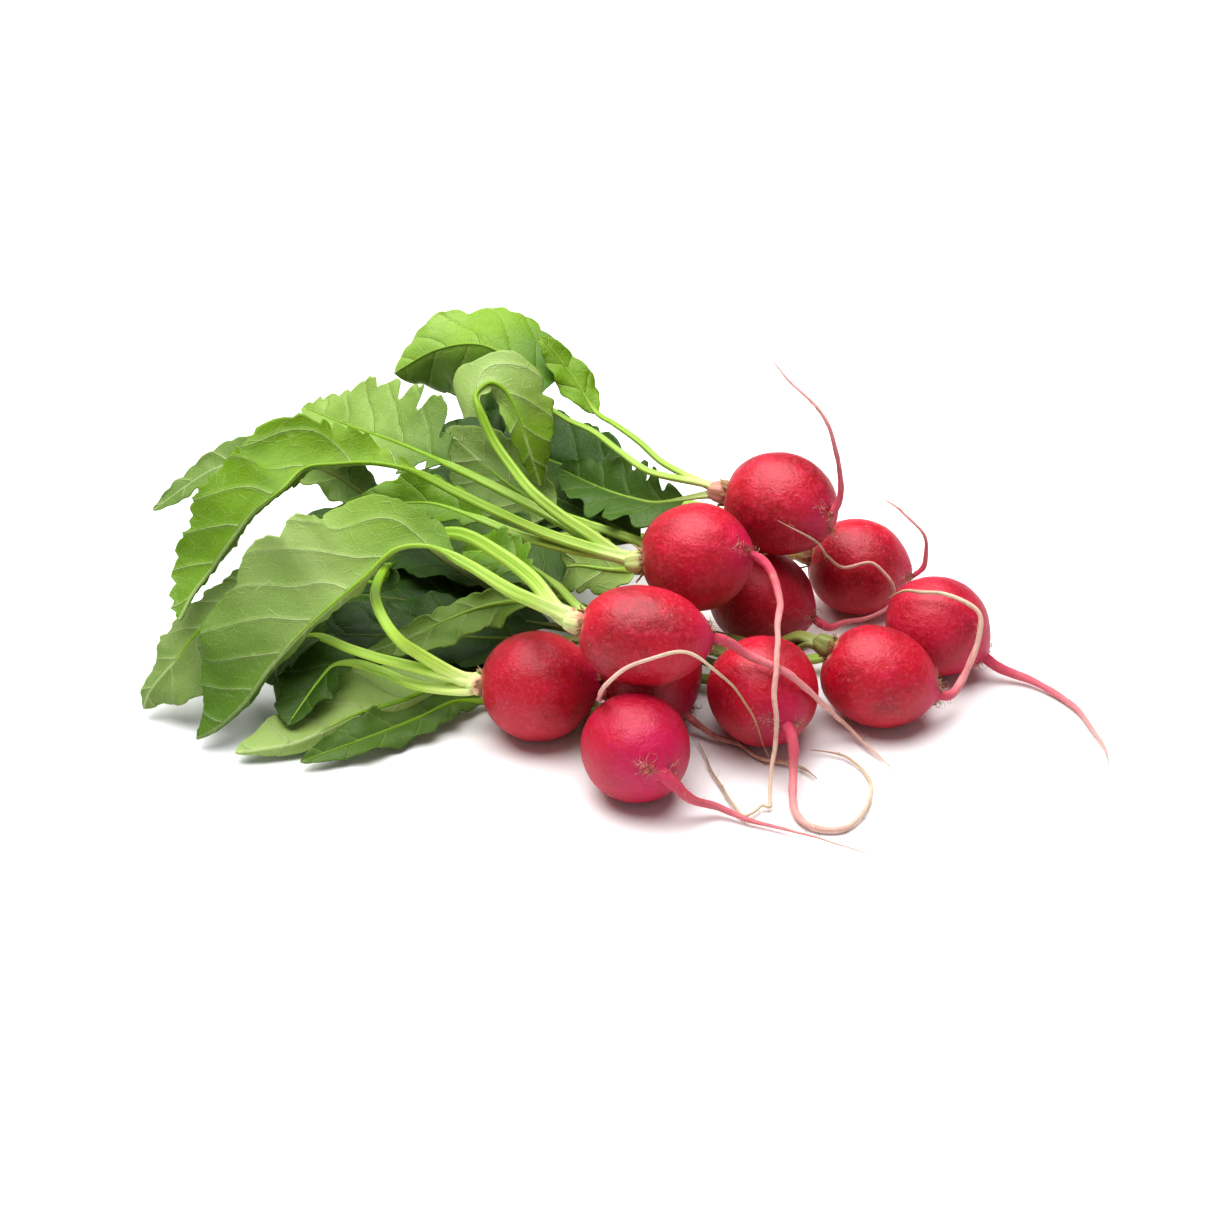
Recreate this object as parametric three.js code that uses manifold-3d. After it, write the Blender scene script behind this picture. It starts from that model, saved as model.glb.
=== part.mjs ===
import * as THREE from "three";
import { mergeVertices } from "three/addons/utils/BufferGeometryUtils.js";
import Module from "manifold-3d";

// A bunch of eleven round radishes lying on a table, with their leaves still on. Millimetres, +Z up, the
// table at z = 0, the roots towards +X and the leaves towards -X. Each radish is two solids: its red root
// (the globe with its taproot) and its green top (the stalks and blades of its leaves, which meet in one
// crown).

const wasm = await Module();
wasm.setup();

const joinGap = 0.3; // the top's crown stands this far off its globe
const restFlat = 0.4; // a globe that carries the bunch is flattened by this much
const tableSize = [600, 600, 20]; // what is cut off below the table top

const globeSides = 15;
const globeRings = 9;
const rootSwell = 1.4; // how far the globe is drawn out towards its taproot
const rootSwellAngle = 0.42;
const crownDip = 0.8; // the shallow hollow that the crown stands in
const crownDipAngle = 0.5;

const taprootSides = 6;
const taprootStep = 8; // length of one facet
const taprootFlare = 5; // length over which its base narrows
const taprootBase = 2.2;
const taprootMid = 1;
const taprootTip = 0.45;
const taprootSunk = 0.3; // how far its loft starts inside the globe, as a share of the way to the centre
const fewestTaprootSteps = 8;

const crownRadius = 3.3;
const crownHeight = 5;
const crownSides = 8;
const crownProfile = [[0, 0], [0.8, 0], [1, 0.25], [0.9, 0.7], [0.5, 1], [0, 1]]; // of radius and height

const stalkSpread = 1.7; // a stalk leaves the crown this far from its middle
const stalkSunk = 1.5; // its loft starts this far inside the crown
const usualStalk = 1.6; // radius
const stalkTaper = 0.7; // its radius where the blade starts, as a share of the whole
const stalkStep = 15; // length of one facet
const fewestStalkSteps = 4;

const bladeThickness = 0.8;
const bladeSteps = 13; // the edge's teeth stand on every second step
const ribDepth = 1; // the midrib's depth under the blade, at the blade's base
const toothDepth = 0.1; // of the half width
const cutDepth = 0.28; // of the half width, for the deep cuts near the blade's base
const waveHeight = 1.3;
const waveTurns = 2.5;
const wavePhase = 1.7; // radians from one leaf to the next
const bluntTip = 0.97; // the outline is closed here, so that the tip keeps some width
const foldAtRib = 0.7; // the share of its fold that a half has beside the midrib
const acrossBlade = [-1, -0.5, 0, 0.5, 1]; // of the half width
const outlineSkew = 0.85; // the outline is sin(pi * share ** skew) ** roundness
const outlineRoundness = 0.65;
const usualCuts = 0.6;
const usualTaper = 0.06; // how fast the outline widens at the blade's base, in shares of its length

const rootRed = 0xb3082f;
const leafGreen = 0x6f9f35;

// A plant's axis runs along its globe from crown to taproot, and its crown direction points from the
// globe's centre. A leaf's route runs from its crown to the blade's tip; bladeFrom is the share of the
// route where the blade starts, width the widths of its two halves, face the way its upper side looks
// (tipFace at the tip), and fold the angles in degrees that the halves are turned up from flat. Some have
// cuts, the depth of the lobes near the blade's base, and taper in place of the usual ones. A plant's
// stalk is the radius of its leaf stalks.
const plants = [
  {
    name: "radish_1", centre: [48.5, 26, 42.5], radius: 14.4, halfLength: 16.6,
    axis: [0.93, -0.36, 0.02], crown: [-0.97, 0.22, 0.08],
    taprootBase: 1.6, taprootMid: 0.8, stalk: 1.1,
    taproot: [
      [60, 16, 43], [64, 17, 48], [65, 18, 54], [63, 18, 64], [61, 20, 71], [57, 24, 76], [50, 31, 80],
      [44, 37, 85]
    ],
    leaves: [
      {
        route: [
          [16, 39, 48], [9, 46, 51], [2, 54, 52], [-3, 62, 51], [-8, 68, 56], [-13, 73, 61],
          [-17, 76, 65], [-20, 78, 67]
        ],
        bladeFrom: 0.62, width: [5.5, 5.5], face: [0.45, -0.6, 0.66], fold: [-8, 12], cuts: 0,
      },
      {
        route: [
          [12, 36, 47], [4, 43, 49], [-4, 53, 50], [-12, 57, 52], [-19, 62, 55], [-26, 76, 59],
          [-37, 84, 61], [-50, 88, 57], [-63, 88, 49]
        ],
        bladeFrom: 0.52, width: [25, 18], face: [0.1, -0.35, 0.9], fold: [-68, -5], cuts: 0.3,
      },
      {
        route: [
          [14, 34, 38], [7, 38, 37], [1, 43, 36], [-6, 50, 35], [-14, 59, 34]
        ],
        bladeFrom: 0.16, width: [12, 12], face: [0.1, -0.6, 0.8], fold: [15, 15], cuts: 3,
      },
    ],
  },
  {
    name: "radish_2", centre: [72.2, 38, 13.6], radius: 14, halfLength: 14.9,
    axis: [0.97, -0.12, -0.18], crown: [-0.97, 0.12, 0.2],
    taprootBase: 1.5, taprootMid: 0.7,
    taproot: [
      [87, 35, 12], [91, 36, 14], [92, 37, 19], [91, 38, 24], [88, 41, 27], [84, 45, 29], [79, 49, 30]
    ],
    leaves: [
      {
        route: [
          [38, 46, 14], [20, 54, 11], [0, 66, 9], [-22, 81, 7], [-45, 96, 5], [-60, 105, 3]
        ],
        bladeFrom: 0.45, width: [18, 18], face: [0, -0.2, 1], fold: [12, 12],
      },
      {
        route: [
          [36, 54, 21], [14, 63, 22], [-10, 78, 22], [-32, 94, 21], [-52, 106, 18]
        ],
        bladeFrom: 0.42, width: [17, 17], face: [0, -0.4, 0.9], fold: [10, 10],
      },
    ],
  },
  {
    name: "radish_3", centre: [24.6, 5.4, 38], radius: 15.1, halfLength: 16,
    axis: [0.93, -0.2, 0.2], crown: [-0.98, -0.04, -0.06],
    stalk: 1.7,
    taproot: [
      [38, 0, 43], [43, -3, 42], [46, -9, 40], [47, -16, 38], [46, -27, 37], [45, -37, 32], [45, -44, 23],
      [45, -47, 12], [44, -52, 5], [43, -59, 2], [40, -63, 2.4], [36, -62, 1.8], [32, -57, 1.3],
      [28, -46, 1.3], [25, -31, 1.3]
    ],
    leaves: [
      {
        route: [
          [-5, 11, 42], [-13, 16, 45], [-21, 22, 49], [-27, 31, 52], [-32, 38, 56], [-36, 45, 62],
          [-37, 50, 64], [-33, 53, 66], [-29, 52, 64], [-25, 47, 58], [-22, 42, 50], [-19, 39, 40]
        ],
        bladeFrom: 0.56, width: [13, 6], face: [-0.25, -0.7, 0.65], tipFace: [0.3, -0.75, 0.6],
        fold: [-25, -10],
      },
      {
        route: [
          [-9, 8, 39], [-21, 10, 41], [-28, 13, 42], [-38, 19, 43], [-50, 24, 44], [-62, 24, 43],
          [-76, 22, 39]
        ],
        bladeFrom: 0.5, width: [8, 9], face: [0, -0.5, 0.9], fold: [15, 15], cuts: 2,
      },
      {
        route: [
          [-16, 9, 43], [-30, 11, 49], [-42, 14, 54], [-52, 17, 58], [-64, 19, 60], [-75, 17, 61],
          [-83, 15, 61], [-89, 7, 59], [-97, 3, 54], [-104, -1, 46], [-109, -3, 39], [-114, -8, 34],
          [-117, -14, 30]
        ],
        bladeFrom: 0.4, width: [6, 22], face: [0.1, -0.55, 0.8], tipFace: [-0.5, -0.6, 0.5],
        fold: [-100, 5], taper: 0.25,
      },
      {
        route: [
          [-14, 20, 41], [-30, 31, 44], [-47, 43, 46], [-61, 54, 46], [-76, 67, 44], [-90, 82, 41]
        ],
        bladeFrom: 0.5, width: [12, 20], face: [0.1, -0.5, 0.8], fold: [10, 10], cuts: 2.4,
      },
    ],
  },
  {
    name: "radish_4", centre: [43.6, 21.4, 13.8], radius: 14.2, halfLength: 15.1,
    axis: [0.93, -0.2, -0.3], crown: [-0.92, 0.22, 0.3],
    taprootMid: 0.9,
    taproot: [
      [58, 17, 10], [63, 15, 8], [68, 19, 7], [75, 21, 7], [81, 22, 11], [81, 23, 18], [75, 24, 24],
      [67, 23, 23], [62, 20, 29], [58, 12, 39], [53, 9, 44], [47, 9, 48]
    ],
    leaves: [
      {
        route: [
          [12, 31, 25], [2, 37, 28], [-9, 47, 28], [-20, 60, 26], [-32, 74, 22]
        ],
        bladeFrom: 0.25, width: [14, 14], face: [0.1, -0.4, 0.9], fold: [14, 14], cuts: 3,
      },
      {
        route: [
          [12, 24, 21], [1, 20, 24], [-9, 22, 24], [-18, 22, 22], [-28, 24, 19]
        ],
        bladeFrom: 0.35, width: [9, 11], face: [0, -0.6, 0.8], fold: [5, 10], cuts: 1.2,
      },
      {
        route: [
          [8, 28, 29], [-5, 33, 31], [-16, 40, 31.5], [-27, 48, 34], [-35, 55, 37], [-42, 62, 40],
          [-47, 66, 43]
        ],
        bladeFrom: 0.52, width: [13, 13], face: [-0.1, -0.7, 0.7], fold: [8, 8],
      },
    ],
  },
  {
    name: "radish_5", centre: [9.5, -34, 38.5], radius: 13.5, halfLength: 17.9,
    axis: [0.98, -0.1, -0.05], crown: [-0.97, 0.11, 0.17],
    stalk: 2,
    taproot: [
      [27, -36, 40], [33, -34, 36], [38, -34, 32], [44, -36, 30.5], [49, -37, 28], [55, -36, 21],
      [61, -32, 12], [67, -29, 4], [72, -35, 1.8], [79, -45, 1.3]
    ],
    leaves: [
      {
        route: [
          [-25, -27, 48], [-37, -20, 52], [-48, -14, 54], [-57, -14, 53], [-65, -18, 47], [-73, -21, 41],
          [-82, -23, 33], [-91, -27, 24], [-99, -31, 14], [-107, -33, 7], [-112, -33, 4]
        ],
        bladeFrom: 0.27, width: [7, 31], face: [-0.2, -0.6, 0.75], fold: [-100, 2], taper: 0.15,
      },
      {
        route: [
          [-20, -18, 46], [-29, -10, 49], [-41, -1, 50], [-53, 3, 45], [-66, 4, 40], [-80, 3, 36],
          [-96, -2, 32], [-112, -10, 24], [-119, -15, 17], [-126, -18, 9], [-128, -19, 4]
        ],
        bladeFrom: 0.62, width: [17, 11], face: [-0.3, -0.6, 0.7], fold: [-15, -10],
      },
      {
        route: [
          [-17, -19, 42], [-22, -9, 43], [-28, -2, 43], [-34, 2, 42], [-40, 5, 40]
        ],
        bladeFrom: 0.5, width: [8, 8], face: [0, -0.5, 0.8], fold: [15, 15], cuts: 2.6,
      },
    ],
  },
  {
    name: "radish_6", centre: [-19.2, -23.2, 14.7], radius: 15.1, halfLength: 16,
    axis: [0.99, -0.1, 0], crown: [-1, 0.02, 0.02],
    stalk: 1.7,
    taproot: [
      [-2, -24, 14], [-2, -44, 25], [0, -54, 37], [6, -53, 42], [13, -52, 44.5], [20, -51, 45],
      [27, -50, 40], [34, -46, 30], [39, -45, 20], [42, -43, 9], [44, -44, 5]
    ],
    leaves: [
      {
        route: [
          [-53, -23, 21], [-62, -22, 23], [-70, -19, 24], [-81, -11, 23], [-89, -9, 19], [-96, -9, 13],
          [-100, -10, 7]
        ],
        bladeFrom: 0.6, width: [14, 14], face: [-0.2, -0.3, 0.9], fold: [10, 10],
      },
      {
        route: [
          [-53, -23, 15], [-61, -20, 17], [-69, -18, 18.5], [-75, -18, 18], [-79, -21, 15],
          [-83, -26, 11.5], [-87, -33, 8.5]
        ],
        bladeFrom: 0.54, width: [12, 13], face: [-0.2, -0.3, 0.9], fold: [5, 5],
      },
      {
        route: [
          [-51, -23, 25], [-56, -24, 30], [-60, -21, 34], [-63, -14, 37], [-63, -6, 37], [-61, 6, 35],
          [-62, 4, 31], [-69, 10, 27], [-80, 14, 22], [-92, 17, 16]
        ],
        bladeFrom: 0.58, width: [12, 12], face: [-0.1, -0.2, 1], fold: [10, 10],
      },
    ],
  },
  {
    name: "radish_7", centre: [7.6, -51, 14.2], radius: 14.6, halfLength: 15.4,
    axis: [0.4, -0.9, 0.14], crown: [-0.4, 0.9, -0.14],
    taprootMid: 1.3,
    taproot: [
      [13, -64, 17], [17, -66, 14], [22, -65, 8], [29, -63, 3.5], [37, -66, 1.8], [46, -70, 1.6],
      [56, -74, 1.4], [66, -79, 1.3], [74, -82, 1.2]
    ],
    leaves: [
      {
        route: [
          [-1, -34, 8], [-2, -21, 3.2], [-8, -10, 3], [-22, -10, 3], [-34, -14, 3], [-42, -17, 5],
          [-51, -24, 5], [-62, -31, 4.5], [-74, -38, 4], [-83, -43, 3.5]
        ],
        bladeFrom: 0.5, width: [7, 8], face: [0, -0.5, 0.9], fold: [10, 10],
      },
      {
        route: [
          [-3, -33, 9], [-4.5, -21, 3.4], [-11, -10, 5], [-24, -8, 7], [-38, -12, 8], [-48, -17, 9],
          [-57, -23, 9], [-69, -28, 8], [-77, -32, 6], [-84, -36, 5], [-91, -38, 4.5], [-101, -39, 3.5]
        ],
        bladeFrom: 0.46, width: [4, 17], face: [0, -0.25, 0.95], fold: [-60, 5], taper: 0.12,
      },
    ],
  },
  {
    name: "radish_8", centre: [42.6, -25.9, 14.8], radius: 15.2, halfLength: 15.8,
    axis: [0.39, -0.92, -0.02], crown: [-0.39, 0.92, 0.02],
    taprootMid: 1.3,
    taproot: [
      [48, -41, 15], [50, -46, 12], [50, -51, 6], [50, -61, 2], [52, -67, 1.8], [56, -70, 1.6],
      [62, -70, 1.5], [67, -65, 1.4], [70, -58, 1.3], [71, -50, 1.3], [69, -43, 1.3], [65, -38, 1.3],
      [60, -36, 1.3], [55, -35, 1.3]
    ],
    leaves: [
      {
        route: [
          [31, -8, 7], [23, -3, 3.5], [12, 2, 3], [-4, 2, 3], [-24, 2, 3], [-48, 1, 3], [-74, 0, 3],
          [-98, 4, 3]
        ],
        bladeFrom: 0.46, width: [13, 13], face: [0, -0.1, 1], fold: [6, 6],
      },
      {
        route: [
          [30, -4, 14], [20, 1, 12], [4, 4, 11], [-20, 6, 10], [-46, 9, 9], [-72, 11, 8], [-96, 14, 6]
        ],
        bladeFrom: 0.42, width: [15, 15], face: [0, -0.2, 1], fold: [8, 8],
      },
    ],
  },
  {
    name: "radish_9", centre: [74.6, -17.5, 13.6], radius: 14, halfLength: 16.3,
    axis: [0.93, -0.2, -0.25], crown: [-0.86, 0.28, 0.42],
    taproot: [
      [89, -21, 11], [94, -20, 9], [98, -14, 10], [101, -11, 15], [103, -8, 21], [103, -5, 26],
      [99, -3, 29], [93, -1, 30], [88, 0, 30], [83, 2, 29], [78, 4, 25]
    ],
    leaves: [
      {
        route: [
          [53, -8, 17], [46, -5, 9], [34, -2, 6], [18, 8, 6], [0, 14, 6], [-22, 22, 5], [-48, 31, 5],
          [-74, 38, 4], [-98, 44, 3]
        ],
        bladeFrom: 0.5, width: [15, 15], face: [0, -0.1, 1], fold: [6, 6],
      },
      {
        route: [
          [53, -7, 20], [45, -3, 14], [33, 1, 14], [20, 6, 14], [4, 10, 15], [-20, 16, 14], [-42, 33, 16],
          [-62, 50, 22], [-81, 64, 29], [-101, 69, 31], [-115, 70, 27], [-134, 64, 16]
        ],
        bladeFrom: 0.62, width: [9, 9], face: [0, -0.3, 0.9], fold: [10, 10],
      },
    ],
  },
  {
    name: "radish_10", centre: [11.3, -15.6, 14.4], radius: 14.8, halfLength: 15,
    axis: [0.68, -0.48, -0.54], crown: [-0.68, 0.48, 0.54],
    taprootBase: 1.8,
    taproot: [
      [21, -23, 6], [25, -26, 3.5], [30, -30, 2.2], [36, -33, 1.8], [42, -39, 1.5], [48, -41, 1.5],
      [53, -43, 1.5], [57, -48, 1.3]
    ],
    leaves: [
      {
        route: [
          [-10, -4, 26], [-20, 2, 25], [-30, 6, 22], [-39, 4, 20.5], [-49, 0, 18], [-60, -4, 15],
          [-68, -6, 13]
        ],
        bladeFrom: 0.3, width: [9, 5], face: [0, -0.5, 0.8], fold: [10, 10],
      },
      {
        route: [
          [-8, 0, 25], [-14, 8, 27], [-22, 17, 28], [-34, 28, 28], [-48, 38, 27]
        ],
        bladeFrom: 0.3, width: [13, 13], face: [0.1, -0.4, 0.9], fold: [10, 10],
      },
    ],
  },
  {
    name: "radish_11", centre: [92.6, 6.6, 13.9], radius: 14.3, halfLength: 14.8,
    axis: [0.92, -0.2, -0.1], crown: [-0.93, 0, -0.35],
    taproot: [
      [105, 1, 8], [111, 0, 4], [119, -3, 2], [126, -9, 1.6], [131, -17, 1.5], [134, -26, 1.4],
      [136, -35, 1.3], [136, -42, 1.2]
    ],
    leaves: [
      {
        route: [
          [68, 6, 6], [56, 3, 5], [44, 3, 4], [30, 9, 4], [16, 15, 5], [-4, 23, 8], [-26, 36, 11],
          [-50, 53, 11], [-72, 67, 9], [-90, 78, 6]
        ],
        bladeFrom: 0.55, width: [17, 17], face: [0, -0.1, 1], fold: [6, 6],
      },
    ],
  },
];

const vector = (p) => new THREE.Vector3(...p);
const direction = (p) => vector(p).normalize();
const mix = THREE.MathUtils.lerp;
const bump = (angle, spread) => Math.exp(-((angle / spread) ** 2));

function solidFrom(points, triangles) {
  const geometry = new THREE.BufferGeometry();
  const numbers = points.flatMap((point) => point.toArray());
  geometry.setAttribute("position", new THREE.Float32BufferAttribute(numbers, 3));
  geometry.setIndex(triangles.flat());
  return solidOf(geometry);
}

function solidOf(geometry) {
  const bare = new THREE.BufferGeometry().setAttribute("position", geometry.getAttribute("position"));
  if (geometry.index) bare.setIndex(geometry.index);
  const merged = mergeVertices(bare, 1e-4);
  return new wasm.Manifold(
    new wasm.Mesh({
      numProp: 3,
      vertProperties: merged.attributes.position.array,
      triVerts: new Uint32Array(merged.index.array),
    }),
  );
}

function geometryOf(solid) {
  const { vertProperties, triVerts } = solid.getMesh();
  const geometry = new THREE.BufferGeometry();
  geometry.setAttribute("position", new THREE.BufferAttribute(vertProperties, 3));
  geometry.setIndex(new THREE.BufferAttribute(triVerts, 1));
  geometry.computeVertexNormals();
  return geometry;
}

// A closed skin over a row of rings that all have the same number of points.
function loft(rings) {
  const sides = rings[0].length;
  const triangles = [];
  for (let r = 0; r + 1 < rings.length; r++)
    for (let s = 0; s < sides; s++) {
      const a = r * sides + s;
      const b = r * sides + ((s + 1) % sides);
      triangles.push([a, b, b + sides], [a, b + sides, a + sides]);
    }
  const last = (rings.length - 1) * sides;
  for (let s = 1; s + 1 < sides; s++) {
    triangles.push([0, s + 1, s]);
    triangles.push([last, last + s, last + s + 1]);
  }
  return solidFrom(rings.flat(), triangles);
}

// The globe: an ellipsoid along its axis, drawn out towards the taproot and dished at the crown.
function globe({ centre, radius, halfLength, axis, crown, taproot }) {
  const along = direction(axis);
  const rootward = vector(taproot[0]).sub(vector(centre)).normalize();
  const crownward = direction(crown);
  const geometry = new THREE.SphereGeometry(1, globeSides, globeRings);
  geometry.applyQuaternion(new THREE.Quaternion().setFromUnitVectors(new THREE.Vector3(0, 1, 0), rootward));
  const positions = geometry.getAttribute("position");
  const point = new THREE.Vector3();
  for (let i = 0; i < positions.count; i++) {
    const unit = new THREE.Vector3().fromBufferAttribute(positions, i).normalize();
    point.copy(unit).multiplyScalar(radius);
    point.addScaledVector(along, unit.dot(along) * (halfLength - radius));
    point.addScaledVector(rootward, rootSwell * bump(unit.angleTo(rootward), rootSwellAngle));
    point.addScaledVector(crownward, -crownDip * bump(unit.angleTo(crownward), crownDipAngle));
    point.add(vector(centre));
    positions.setXYZ(i, ...point.toArray());
  }
  return solidOf(geometry);
}

// How far the globe's skin is from its centre along a direction.
function reach({ radius, halfLength, axis }, toward) {
  const angle = toward.angleTo(direction(axis));
  return Math.hypot(radius * Math.sin(angle), halfLength * Math.cos(angle));
}

function taproot(plant) {
  const start = vector(plant.taproot[0]);
  const inside = start.clone().lerp(vector(plant.centre), taprootSunk);
  const curve = new THREE.CatmullRomCurve3([inside, ...plant.taproot.map(vector)]);
  const length = curve.getLength();
  const steps = Math.max(fewestTaprootSteps, Math.round(length / taprootStep));
  const base = plant.taprootBase ?? taprootBase;
  const middle = plant.taprootMid ?? taprootMid;
  const frames = curve.computeFrenetFrames(steps);
  const rings = [];
  for (let i = 0; i <= steps; i++) {
    const from = (i / steps) * length;
    const past = Math.max(0, from - inside.distanceTo(start));
    const radius =
      mix(middle, taprootTip, i / steps) + (base - middle) * Math.exp(-past / taprootFlare);
    const centre = curve.getPointAt(i / steps);
    const ring = [];
    for (let s = 0; s < taprootSides; s++) {
      const turn = (s / taprootSides) * 2 * Math.PI;
      ring.push(
        centre
          .clone()
          .addScaledVector(frames.normals[i], radius * Math.cos(turn))
          .addScaledVector(frames.binormals[i], radius * Math.sin(turn)),
      );
    }
    rings.push(ring);
  }
  return loft(rings);
}

function table() {
  const slab = new THREE.BoxGeometry(...tableSize);
  slab.translate(0, 0, -tableSize[2] / 2);
  return solidOf(slab);
}

function root(plant) {
  let solid = globe(plant).add(taproot(plant));
  if (plant.centre[2] < plant.radius + restFlat) solid = solid.subtract(table());
  return solid;
}

// The half width of a blade: narrow at its base, widest past the middle and round at the tip, with scallops
// that are deeper and further apart near the base.
function halfWidth(leaf, left, share, step) {
  const widening = 1 - Math.exp(-share / (leaf.taper ?? usualTaper));
  const outline = widening * Math.sin(Math.PI * share ** outlineSkew) ** outlineRoundness;
  const depth = toothDepth + cutDepth * (leaf.cuts ?? usualCuts) * (1 - share) ** 2;
  return leaf.width[left ? 0 : 1] * outline * (step % 2 ? 1 : 1 - depth);
}

function leaf(plant, data, index) {
  const crown = crownOf(plant);
  const first = vector(data.route[0]).sub(crown.top);
  const sideways = first.clone().addScaledVector(crown.out, -first.dot(crown.out)).normalize();
  const start = crown.foot.clone().addScaledVector(crown.out, stalkSunk);
  start.addScaledVector(sideways, stalkSpread / 2);
  const leaving = crown.top.clone().addScaledVector(sideways, stalkSpread);
  const curve = new THREE.CatmullRomCurve3([start, leaving, ...data.route.map(vector)]);
  curve.arcLengthDivisions = 400;
  const length = curve.getLength();
  const stalkSteps = Math.max(fewestStalkSteps, Math.round((length * data.bladeFrom) / stalkStep));
  const shares = [];
  for (let i = 0; i < stalkSteps; i++) shares.push((data.bladeFrom * i) / stalkSteps);
  for (let i = 0; i <= bladeSteps; i++) shares.push(Math.min(1, mix(data.bladeFrom, 1, i / bladeSteps)));

  const face = direction(data.face);
  const tipFace = direction(data.tipFace ?? data.face);
  const rings = shares.map((share, i) => {
    const step = i - stalkSteps;
    const onBlade = Math.max(0, step / bladeSteps);
    const centre = curve.getPointAt(share);
    const tangent = curve.getTangentAt(share);
    const facing = face.clone().lerp(tipFace, onBlade);
    const side = tangent.clone().cross(facing).normalize();
    const up = side.clone().cross(tangent).normalize();
    const at = (x, z) => centre.clone().addScaledVector(side, x).addScaledVector(up, z);
    if (step <= 0) {
      return stalkRing(at, (plant.stalk ?? usualStalk) * mix(1, stalkTaper, i / stalkSteps));
    }
    return bladeRing(at, data, onBlade, step, index);
  });
  return loft(rings);
}

function stalkRing(at, radius) {
  const sides = 2 * acrossBlade.length;
  const ring = [];
  for (let s = 0; s < sides; s++) {
    const turn = Math.PI - ((s + 0.5) / sides) * 2 * Math.PI;
    ring.push(at(radius * Math.cos(turn), radius * Math.sin(turn)));
  }
  return ring;
}

function bladeRing(at, data, onBlade, step, index) {
  const rib = ribDepth * (1 - onBlade);
  const upper = [];
  const lower = [];
  for (const across of acrossBlade) {
    const half = Math.max(bladeThickness, halfWidth(data, across < 0, Math.min(onBlade, bluntTip), step));
    const turned = data.fold[across < 0 ? 0 : 1] * mix(foldAtRib, 1, Math.abs(across));
    const fold = THREE.MathUtils.degToRad(turned);
    const turn = index * wavePhase + Math.sign(across) + onBlade * waveTurns * 2 * Math.PI;
    const wave = waveHeight * across ** 2 * Math.sin(turn) * Math.sin(Math.PI * onBlade);
    const x = across * half * Math.cos(fold);
    const z = Math.abs(across) * half * Math.sin(fold) + wave;
    const leanX = -Math.sign(across) * Math.sin(fold) * (bladeThickness / 2);
    const leanZ = Math.cos(fold) * (bladeThickness / 2);
    upper.push(at(x + leanX, z + leanZ));
    lower.unshift(at(x - leanX, z - leanZ - (across ? 0 : rib)));
  }
  return [...upper, ...lower];
}

function crownOf(plant) {
  const out = direction(plant.crown);
  const skin = reach(plant, out) - crownDip + joinGap;
  const foot = vector(plant.centre).addScaledVector(out, skin);
  return { out, foot, top: foot.clone().addScaledVector(out, crownHeight) };
}

function crownSolid(plant) {
  const { out, foot } = crownOf(plant);
  const profile = crownProfile.map(([x, y]) => new THREE.Vector2(x * crownRadius, y * crownHeight));
  const geometry = new THREE.LatheGeometry(profile, crownSides);
  geometry.applyQuaternion(new THREE.Quaternion().setFromUnitVectors(new THREE.Vector3(0, 1, 0), out));
  geometry.translate(...foot.toArray());
  return solidOf(geometry);
}

function top(plant, number) {
  return plant.leaves
    .map((data, index) => leaf(plant, data, number + index))
    .reduce((whole, piece) => whole.add(piece), crownSolid(plant));
}

function piece(name, solid, color) {
  const skin = new THREE.MeshStandardMaterial({ color, roughness: 0.45, metalness: 0 });
  const mesh = new THREE.Mesh(geometryOf(solid), skin);
  mesh.name = name;
  return mesh;
}

const bunch = new THREE.Group();
plants.forEach((plant, number) => {
  bunch.add(piece(plant.name + "_root", root(plant), rootRed));
  bunch.add(piece(plant.name + "_leaves", top(plant, number), leafGreen));
});

// The origin is on the table under the middle of the bunch's box.
const box = new THREE.Box3().setFromObject(bunch, true);
bunch.position.set(-(box.min.x + box.max.x) / 2, -(box.min.y + box.max.y) / 2, 0);

export default bunch;
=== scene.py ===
import math
import random

import bpy
import numpy as np
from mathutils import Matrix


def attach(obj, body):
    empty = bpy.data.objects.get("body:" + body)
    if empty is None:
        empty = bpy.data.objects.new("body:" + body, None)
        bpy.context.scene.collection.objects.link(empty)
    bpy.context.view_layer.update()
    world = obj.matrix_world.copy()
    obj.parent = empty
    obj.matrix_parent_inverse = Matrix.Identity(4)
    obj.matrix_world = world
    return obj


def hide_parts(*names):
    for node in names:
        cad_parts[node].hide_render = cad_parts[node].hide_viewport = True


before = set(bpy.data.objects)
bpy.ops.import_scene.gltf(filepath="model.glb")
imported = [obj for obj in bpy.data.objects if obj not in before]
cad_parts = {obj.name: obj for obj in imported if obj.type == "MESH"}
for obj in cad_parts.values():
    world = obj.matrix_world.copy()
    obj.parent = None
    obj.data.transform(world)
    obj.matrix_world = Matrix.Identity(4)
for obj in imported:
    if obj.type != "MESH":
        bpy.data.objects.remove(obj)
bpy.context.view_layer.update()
print("Frame:", len(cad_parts), "nodes")

mm = 0.001
bunchMiddle = np.array([0.74524, 13.13033, 0])  # mm, taken off every point below, as in the part's source

noiseShift = np.array([17.3, 5.1, 9.7])  # how far one seed moves the noise
noiseHash = np.array([127.1, 311.7, 74.7])
noiseSpread = 43758.5453  # large, so that neighbouring corners get unlike values


# Small geometry helpers, all in mm.

def unit(v):
    v = np.asarray(v, float)
    return v / np.linalg.norm(v)


def units(rows):  # the same for each row
    return rows / np.linalg.norm(rows, axis=-1, keepdims=True)


def mix(a, b, t):
    return a + (b - a) * t


def ease(t):  # 0 to 1, flat at both ends
    t = np.clip(t, 0, 1)
    return t * t * (3 - 2 * t)


def table(*columns):  # one row for each point; a column may be a single number
    return np.stack(np.broadcast_arrays(*columns), -1).astype(float)


def between(far, stations, rows):  # the rows of a table at these distances
    return np.stack([np.interp(far, stations, rows[:, k]) for k in range(3)], -1)


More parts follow.
